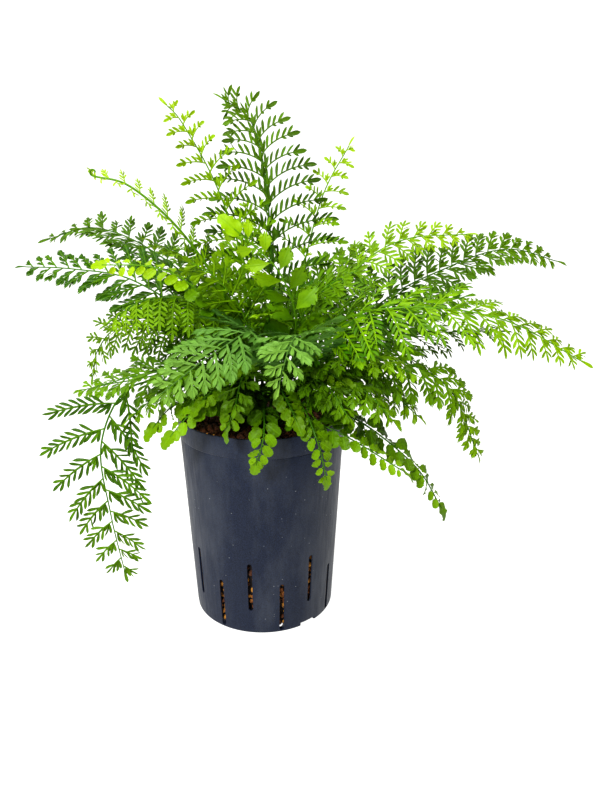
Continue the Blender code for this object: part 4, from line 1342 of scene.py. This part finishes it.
@dataclass
class CulturePot:
    """The tapered, slotted culture pot."""

    wall: float = 1.5 * MM
    collar_height: float = 18.0 * MM
    collar_flare: float = 0.8 * MM
    collar_step: float = 0.8 * MM
    foot_radius: float = 64.6 * MM
    foot_edge: float = 1.5 * MM
    foot_ring: float = 5.0 * MM
    floor_underside: float = 4.5 * MM
    pad_radius: float = 18.0 * MM
    pad_slope: float = 3.0 * MM
    slot_count: int = 15
    slot_width: float = 4.2 * MM
    slot_length: float = 48.0 * MM
    slot_phase: float = -176.0
    high_slot: float = 24.0 * MM
    low_slot: float = 2.0 * MM
    notch_width: float = 17.0 * MM
    notch_height: float = 3.8 * MM
    notch_angles: tuple[float, ...] = (40.0, 160.0, 280.0)
    notch_depth: float = 20.0 * MM
    lip_radius: float = 0.75 * MM
    facets: int = 180

    # Steps in each rounded end of a slot and over the lip, and in the rounded foot edge.
    ROUND_STEPS = 8
    FOOT_STEPS = 5
    # Heights in millimetres that carry the tapered side.
    SIDE_RINGS = (150.0, 120.0, 90.0, 60.0, 30.0, 8.0)
    # Edges that turn by more than this stay crisp.
    CRISP = math.radians(38.0)

    def __post_init__(self) -> None:
        """Read the pot's rim and height from the frame."""
        low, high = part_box("culture_pot")
        self.height = float(high[2])
        self.rim_radius = float(0.5 * (high[0] - low[0]))

    def body_radius(self, height: float) -> float:
        """Find the outer radius of the tapered body.

        Args:
            height: Height above the foot.

        Returns:
            The radius there.
        """
        top = self.rim_radius - self.collar_flare - self.collar_step
        share = height / (self.height - self.collar_height)
        return self.foot_radius + (top - self.foot_radius) * share

    def profile(self) -> list[tuple[float, float]]:
        """List the pot's profile from the dished floor over the lip to the foot pad.

        Returns:
            (radius, height) pairs.
        """
        collar = self.height - self.collar_height
        floor = self.floor_underside + self.wall
        lip, rim, flare = self.lip_radius, self.rim_radius, self.collar_flare
        points = [(0.0, self.wall), (self.pad_radius, self.wall),
                  (self.pad_radius + self.pad_slope, floor),
                  (self.body_radius(floor) - self.wall - 1.0 * MM, floor),
                  (self.body_radius(floor) - self.wall, floor + 1.0 * MM),
                  (self.body_radius(collar) - self.wall, collar - 2.0 * MM),
                  (rim - self.wall, collar + 2.0 * MM)]
        for step in range(self.ROUND_STEPS + 1):
            turn = math.pi * (1.0 - step / self.ROUND_STEPS)
            points.append((rim - lip + lip * math.cos(turn),
                           self.height - lip + lip * math.sin(turn)))
        # The collar's foot rolls inward to the step, and the step has a small fillet.
        points += [(rim - 0.35 * flare, collar + 8.0 * MM), (rim - flare, collar + 0.9 * MM),
                   (rim - flare - 0.15 * MM, collar + 0.35 * MM),
                   (rim - flare - 0.5 * MM, collar + 0.05 * MM),
                   (self.body_radius(collar) - 0.25 * MM, collar - 0.25 * MM),
                   (self.body_radius(collar), collar - 1.1 * MM)]
        points += [(self.body_radius(height * MM), height * MM) for height in self.SIDE_RINGS]
        edge = self.foot_edge
        for step in range(self.FOOT_STEPS + 1):
            turn = 0.5 * math.pi * step / self.FOOT_STEPS
            points.append((self.body_radius(edge) - edge * (1.0 - math.cos(turn)),
                           edge * (1.0 - math.sin(turn))))
        inner = self.foot_radius - self.foot_ring
        points += [(inner, 0.0), (inner, self.floor_underside),
                   (self.pad_radius + self.pad_slope + self.wall, self.floor_underside),
                   (self.pad_radius + self.wall, 0.0), (0.0, 0.0)]
        return points

    def turned(self, material: bpy.types.Material) -> bpy.types.Object:
        """Turn the profile about the pot's axis.

        Args:
            material: The pot's material.

        Returns:
            The uncut pot.
        """
        profile = self.profile()
        mesh = bpy.data.meshes.new("culture_pot_shell")
        mesh.from_pydata([(radius, 0.0, height) for radius, height in profile],
                         [(index, index + 1) for index in range(len(profile) - 1)], [])
        pot = add_object("culture_pot_shell", mesh)
        screw = pot.modifiers.new("Turn", "SCREW")
        screw.steps = self.facets
        screw.render_steps = self.facets
        screw.use_merge_vertices = True
        screw.merge_threshold = 0.02 * MM
        mesh.materials.append(material)
        return pot

    def slot_ring(self, bottom: float) -> list[tuple[float, float]]:
        """Draw the outline of one slot, a stadium standing on its end.

        Args:
            bottom: Height of its lower end.

        Returns:
            (sideways, height) pairs.
        """
        radius = 0.5 * self.slot_width
        ring = []
        for centre, start in ((bottom + self.slot_length - radius, 0.0),
                              (bottom + radius, math.pi)):
            for step in range(self.ROUND_STEPS + 1):
                turn = start + math.pi * step / self.ROUND_STEPS
                ring.append((radius * math.cos(turn), centre + radius * math.sin(turn)))
        return ring

    def cutters(self) -> bpy.types.Object:
        """Make the slot and notch cutters as one object.

        Returns:
            The cutter object.
        """
        build = bmesh.new()
        for index in range(self.slot_count):
            ring = self.slot_ring(self.high_slot if index % 2 else self.low_slot)
            heading = self.slot_phase + index * 360.0 / self.slot_count
            spin = Matrix.Rotation(math.radians(heading), 4, "Z")
            near, far = ([build.verts.new(spin @ Vector((x, -reach * self.foot_radius, z)))
                          for x, z in ring] for reach in (0.5, 1.5))
            build.faces.new(near)
            build.faces.new(far[::-1])
            for low in range(len(ring)):
                high = (low + 1) % len(ring)
                build.faces.new((near[high], near[low], far[low], far[high]))
        for angle in self.notch_angles:
            block = bmesh.ops.create_cube(build, size=1.0)["verts"]
            bmesh.ops.scale(build, verts=block, vec=(self.notch_width, self.notch_depth,
                                                     2.0 * self.notch_height))
            bmesh.ops.translate(build, verts=block, vec=(0.0, -self.foot_radius, 0.0))
            bmesh.ops.rotate(build, verts=block,
                             matrix=Matrix.Rotation(math.radians(angle), 3, "Z"))
        bmesh.ops.recalc_face_normals(build, faces=build.faces)
        mesh = bpy.data.meshes.new("slot_cutters")
        build.to_mesh(mesh)
        build.free()
        return add_object("slot_cutters", mesh)

    def build(self) -> None:
        """Build the pot, cut its slots and notches and smooth its sides."""
        pot = self.turned(PotFinish().material())
        tool = self.cutters()
        cut = pot.modifiers.new("Slots", "BOOLEAN")
        cut.operation = "DIFFERENCE"
        cut.solver = "EXACT"
        cut.use_self = True
        cut.object = tool
        bpy.context.view_layer.update()
        depsgraph = bpy.context.evaluated_depsgraph_get()
        mesh = bpy.data.meshes.new_from_object(pot.evaluated_get(depsgraph))
        pot.modifiers.clear()
        pot.data = mesh
        bpy.data.objects.remove(tool, do_unlink=True)
        mesh.shade_smooth()
        mesh.set_sharp_from_angle(angle=self.CRISP)
        fit_to_frame(pot, "pot_plastic", "culture_pot")


@dataclass
class ClayFill:
    """Loose granules of expanded clay, and the bed that they lie on."""

    pot: CulturePot
    grain: float = 3.4 * MM
    shapes: int = 14
    lumps: int = 7
    lowest_row: float = 7.5 * MM
    highest_row: float = 82.0 * MM
    top_rings: int = 9
    top_hole: float = 19.0 * MM
    top_sunk: float = 3.4 * MM
    bed_inset: float = 4.6 * MM
    bed_sunk: float = 5.2 * MM
    painted_shade_zone: float = 16.0 * MM

    # Spacing of the rows, of the granules in a row and of those on top, by grain radius.
    ROW_PITCH, ROW_SPACING = 1.72, 1.9
    TOP_PITCH, TOP_SPACING = 1.75, 1.85
    # Painted shade: granules on top of the fill, near the crown and under the foliage, keep
    # this share of their tint.
    PAINTED_SHADE = 0.14
    # Compass direction and distance from the rim, in millimetres, of each crumb on it.
    CRUMBS = ((212.0, -0.7), (222.0, -0.9), (236.0, -0.6), (241.0, -1.0), (318.0, -0.8),
              (60.0, -0.9), (130.0, -0.7))

    def __post_init__(self) -> None:
        """Read from the frame how high the fill stands."""
        self.top = float(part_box("clay_granules")[1][2])

    def templates(self, rng: np.random.Generator) -> tuple[np.ndarray, np.ndarray]:
        """Make lumpy unit granules.

        Args:
            rng: Source of their irregularity.

        Returns:
            Points shaped (shapes, points, 3), and the faces that all of them share.
        """
        build = bmesh.new()
        bmesh.ops.create_icosphere(build, subdivisions=3, radius=1.0)
        build.verts.ensure_lookup_table()
        ball = np.array([vertex.co[:] for vertex in build.verts])
        faces = np.array([[vertex.index for vertex in face.verts] for face in build.faces])
        build.free()
        stones = []
        for _ in range(self.shapes):
            swell = np.ones(len(ball))
            for _ in range(self.lumps):
                axis = unit(rng.normal(size=3))
                swell += rng.uniform(-0.16, 0.16) * np.maximum(0.0, ball @ axis) ** 3
            waves = unit(rng.normal(size=(3, 3)))
            swell += 0.05 * np.sin(5.0 * (ball @ waves.T)).sum(axis=1)
            stones.append(ball * swell[:, None] * rng.uniform(0.72, 1.12, 3))
        return np.array(stones), faces

    def places(self, rng: np.random.Generator) -> np.ndarray:
        """Spread the granules behind the slotted wall and over the top.

        Args:
            rng: Source of their scatter.

        Returns:
            Rows of x, y, z and granule radius.
        """
        placed = []
        heights = np.arange(self.lowest_row, self.highest_row, self.ROW_PITCH * self.grain)
        for row, height in enumerate(heights):
            reach = self.pot.body_radius(height) - self.pot.wall
            count = int(2.0 * math.pi * reach / (self.ROW_SPACING * self.grain))
            for index in range(count):
                radius = self.grain * rng.uniform(0.74, 1.12)
                turn = (index + 0.5 * (row % 2) + rng.uniform(-0.2, 0.2)) * 2 * math.pi / count
                out = reach - radius * 1.16 - rng.uniform(0.0, 0.8) * MM
                place = around(out, turn, height + rng.uniform(-0.6, 0.6) * MM)
                placed.append((*place, radius))
        outer = self.pot.body_radius(self.top) - self.pot.wall
        for ring in range(self.top_rings):
            reach = outer - self.grain * (1.2 + self.TOP_PITCH * ring)
            if reach < self.top_hole:
                break
            count = int(2.0 * math.pi * reach / (self.TOP_SPACING * self.grain))
            for index in range(count):
                radius = self.grain * rng.uniform(0.62, 1.10)
                turn = (index + rng.uniform(-0.3, 0.3)) * 2.0 * math.pi / count
                height = self.top - self.top_sunk + rng.uniform(-1.2, 1.0) * MM
                placed.append((*around(reach, turn, height), radius))
        return np.array(placed)

    def crumbs(self, rng: np.random.Generator) -> np.ndarray:
        """Leave a few crumbs on the rim, as handling does.

        Args:
            rng: Source of their size.

        Returns:
            Rows of x, y, z and crumb radius.
        """
        placed = []
        for angle, out in self.CRUMBS:
            radius = rng.uniform(0.7, 1.2) * MM
            place = around(self.pot.rim_radius + out * MM, math.radians(angle),
                           self.pot.height + 0.6 * radius)
            placed.append((*place, radius))
        return np.array(placed)

    def bed(self, material: bpy.types.Material) -> bpy.types.Object:
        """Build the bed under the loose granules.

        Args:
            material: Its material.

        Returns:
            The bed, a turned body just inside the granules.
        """
        floor = self.pot.floor_underside + self.pot.wall + 1.0 * MM
        top = self.top - self.bed_sunk
        reach = self.pot.body_radius(top) - self.bed_inset
        profile = [(0.4 * MM, top + 0.6 * MM), (reach - 8.0 * MM, top)]
        profile += [(self.pot.body_radius(height) - self.bed_inset, height)
                    for height in np.linspace(top - 1.0 * MM, floor, 28)]
        profile.append((0.4 * MM, floor))
        turn = np.linspace(0.0, 2.0 * math.pi, 121)
        rings = np.array([[around(radius, angle, height) for angle in turn]
                          for radius, height in profile])
        # Ripples of 0.7 mm on a side about 70 mm from the axis.
        down = np.linspace(0.0, 60.0, len(profile))[1:-1, None]
        ripple = 0.01 * np.sin(23.0 * turn)[None] * np.sin(down)
        rings[1:-1, :, :2] *= 1.0 + ripple[..., None]
        draft = MeshDraft()
        draft.add_grids(rings[None], np.zeros(rings.shape[:2] + (2,)), np.zeros((1, 3)))
        return draft.build("clay_bed", material)

    def build(self) -> None:
        """Build the granules, their bed and the crumbs."""
        rng = np.random.default_rng(5)
        material = FIRED_CLAY.material()
        stones, faces = self.templates(rng)
        spots = np.vstack([self.places(rng), self.crumbs(rng)])
        points, corners, marks = [], [], []
        for number, (x, y, z, radius) in enumerate(spots):
            turn = np.array(Euler(rng.uniform(0.0, 2.0 * math.pi, 3)).to_matrix())
            stone = stones[number % self.shapes] @ turn.T * radius + (x, y, z)
            points.append(stone)
            corners.append(faces + number * len(stone))
            crumb = radius < 1.3 * MM
            # Painted shade: granules on top of the fill are darkened for the foliage over
            # them; crumbs and the granules behind the wall keep their full tint.
            shade_paint = 1.0 if crumb or z < self.pot.height - self.painted_shade_zone else self.PAINTED_SHADE
            marks.append(np.full((len(stone), 3), (shade_paint * rng.uniform(0.0, 1.0), 0.0, 0.0)))
        granules = mesh_object("loose_clay_granules", np.vstack(points), np.vstack(corners),
                               material, np.vstack(marks))
        fit_to_frame(granules, "clay", "clay_granules")
        fit_to_frame(self.bed(PEAT.material()), "clay")


@dataclass
class RootPlug:
    """The rooted peat plug that shows around the crown."""

    root_count: int = 46
    root_samples: int = 12
    root_foot: float = 0.5 * MM
    root_tip: float = 0.2 * MM
    slump: float = 3.6 * MM
    crumb: float = 1.4 * MM

    def build(self, crown: Crown) -> None:
        """Build the plug's crumbly top and the wiry roots over it.

        Args:
            crown: The crown that stands on it.
        """
        rng = np.random.default_rng(17)
        low, high = (np.array(corner, dtype=float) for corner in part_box("root_plug"))
        outer, floor, top = high[0], low[2], high[2]
        draft = MeshDraft()
        turn = np.linspace(0.0, 2.0 * math.pi, 97)[None]
        reach = np.linspace(0.0, 1.0, 26)[:, None]
        height = self.crumb * np.sin(turn * 7.0 + reach * 9.0)
        height = height * np.sin(turn * 11.0 - reach * 23.0) * reach
        points = np.stack([np.cos(turn) * reach * outer, np.sin(turn) * reach * outer,
                           top - 1.0 * MM - self.slump * reach ** 3 + height], -1)
        skirt = points[-1:] * (0.80, 0.80, 1.0)
        skirt[..., 2] = floor
        surface = np.vstack([points, skirt])
        draft.add_grids(surface[None], np.zeros(surface.shape[:2] + (2,)),
                        np.array([[0.4, 0.0, 0.0]]))
        samples = self.root_samples
        spread = np.linspace(0.0, 1.0, samples)
        for _ in range(self.root_count):
            start = rng.uniform(0.0, 360.0)
            bearing = np.radians(start + np.cumsum(rng.normal(0.0, 9.0, samples)))
            out = crown.radius * 0.8 + spread * rng.uniform(12.0, 24.0) * MM
            path = np.stack([out * np.cos(bearing), out * np.sin(bearing),
                             top + 0.8 * MM - self.slump * spread
                             + rng.normal(0.0, 0.4, samples) * MM], -1)
            way = unit(np.gradient(path, axis=0))
            across = unit(np.cross(way, -DOWN))
            draft.add_tube(path, across, np.cross(across, way),
                           np.linspace(self.root_foot, self.root_tip, samples), 5,
                           (rng.uniform(0.4, 1.0), 0.0, 0.0))
        fit_to_frame(draft.build("rooted_peat_top", PEAT.material()), "rooted_peat",
                     "root_plug")


# --- Studio ------------------------------------------------------------------------------


@dataclass(frozen=True)
class Softbox:
    """A square soft light: its place, its side in metres and its power in watts."""

    name: str
    place: tuple[float, float, float]
    side: float
    power: float

    def hang(self, target: Vector) -> None:
        """Hang the light so that it faces a point.

        Args:
            target: The point.
        """
        lamp = bpy.data.lights.new(self.name, "AREA")
        lamp.shape = "SQUARE"
        lamp.size = self.side
        lamp.energy = self.power
        item = add_object(self.name, lamp)
        item.location = self.place
        aim = target - Vector(self.place)
        item.rotation_euler = aim.to_track_quat("-Z", "Y").to_euler()


@dataclass
class Studio:
    """A white sweep, soft light and the camera."""

    eye: tuple[float, float, float] = (0.0342, -0.611, 0.4015)
    tilt: float = 18.36
    lens: float = 32.4
    sweep_half: float = 3.0
    sweep_back: float = 1.6
    sweep_bend: float = 0.8
    sweep_height: float = 3.0
    plant_middle: float = 0.22
    softboxes: tuple[Softbox, ...] = (
        Softbox("overhead_softbox", (-0.3, -0.3, 1.9), 0.6, 28.0),
        Softbox("key_softbox", (-0.68, -1.42, 1.25), 0.4, 33.0))

    BEND_STEPS = 12
    # Strength of the room's light in front of the plant, and behind it.
    DIM, BRIGHT = 0.14, 0.45
    # The sweep glows a little below full white, so that it stays pure and even.
    SWEEP_GLOW = 0.93

    def build_sweep(self) -> None:
        """Build the floor that curves up behind the plant."""
        # Matt white paint: an even ground with only a faint unevenness from the roller.
        material, add = new_material("painted_white_sweep")
        place = add("TexCoord").outputs["Object"]
        paint = add("TexNoise", {"Vector": place, "Scale": 3.0, "Detail": 2.0})
        tone = add("Mix", {0: paint, 6: linear("fbfbfa"), 7: linear("f8f8f7")},
                   data_type="RGBA")
        shader = add("BsdfPrincipled", {"Base Color": linear("84847f"), "Roughness": 0.9,
                                        "Specular IOR Level": 0.1, "Emission Color": tone,
                                        "Emission Strength": self.SWEEP_GLOW})
        add("OutputMaterial", {"Surface": shader})
        back, bend = self.sweep_back, self.sweep_bend
        profile = [(-self.sweep_half, 0.0), (back, 0.0)]
        for step in range(1, self.BEND_STEPS + 1):
            turn = 0.5 * math.pi * step / self.BEND_STEPS
            profile.append((back + bend * math.sin(turn), bend * (1.0 - math.cos(turn))))
        profile.append((back + bend, self.sweep_height))
        points = np.array([[(side * self.sweep_half, y, z) for side in (-1.0, 1.0)]
                           for y, z in profile]).reshape(-1, 3)
        rows = np.arange(len(profile) - 1) * 2
        faces = np.stack([rows, rows + 1, rows + 3, rows + 2], axis=1)
        mesh_object("studio_sweep", points, faces, material)

    def light_room(self, tree: bpy.types.NodeTree) -> None:
        """Light the room: white walls behind and beside the plant, a dim room in front.

        Args:
            tree: Node tree of the world.
        """
        tree.nodes.clear()
        add = partial(add_node, tree)
        place = add("TexCoord").outputs["Generated"]
        axes = add("SeparateXYZ", {"Vector": place})
        wall = add("MapRange", {"Value": axes.outputs["Y"], "From Min": -0.6, "From Max": 0.5,
                                "To Min": self.DIM, "To Max": self.BRIGHT},
                   interpolation_type="SMOOTHSTEP")
        light = add("Background", {"Color": linear("ffffff"), "Strength": wall})
        add("OutputWorld", {"Surface": light})

    def build(self) -> None:
        """Build the sweep, the lights, the room's light and the camera."""
        scene = bpy.context.scene
        self.build_sweep()
        for softbox in self.softboxes:
            softbox.hang(Vector((0.0, 0.0, self.plant_middle)))
        world = bpy.data.worlds.new("white_room")
        world.use_nodes = True
        self.light_room(world.node_tree)
        scene.world = world
        lens = bpy.data.cameras.new("camera")
        lens.lens = self.lens
        lens.sensor_width = 36.0
        camera = add_object("camera", lens)
        camera.location = self.eye
        camera.rotation_euler = (math.radians(90.0 - self.tilt), 0.0, 0.0)
        scene.camera = camera
        scene.view_settings.view_transform = "Standard"
        scene.view_settings.look = "Medium High Contrast"


def main() -> None:
    """Build the potted fern and the studio around it."""
    logging.basicConfig(level=logging.INFO, format="%(name)s %(message)s")
    Studio().build()
    crown = Crown()
    crown.build()
    pot = CulturePot()
    pot.build()
    ClayFill(pot).build()
    RootPlug().build(crown)
    leaves = {tone: tone.value.material() for tone in Tone}
    for seed, plan in enumerate(FRONDS):
        Frond(plan, crown, seed + 100).build(leaves)


if __name__ == "__main__":
    main()
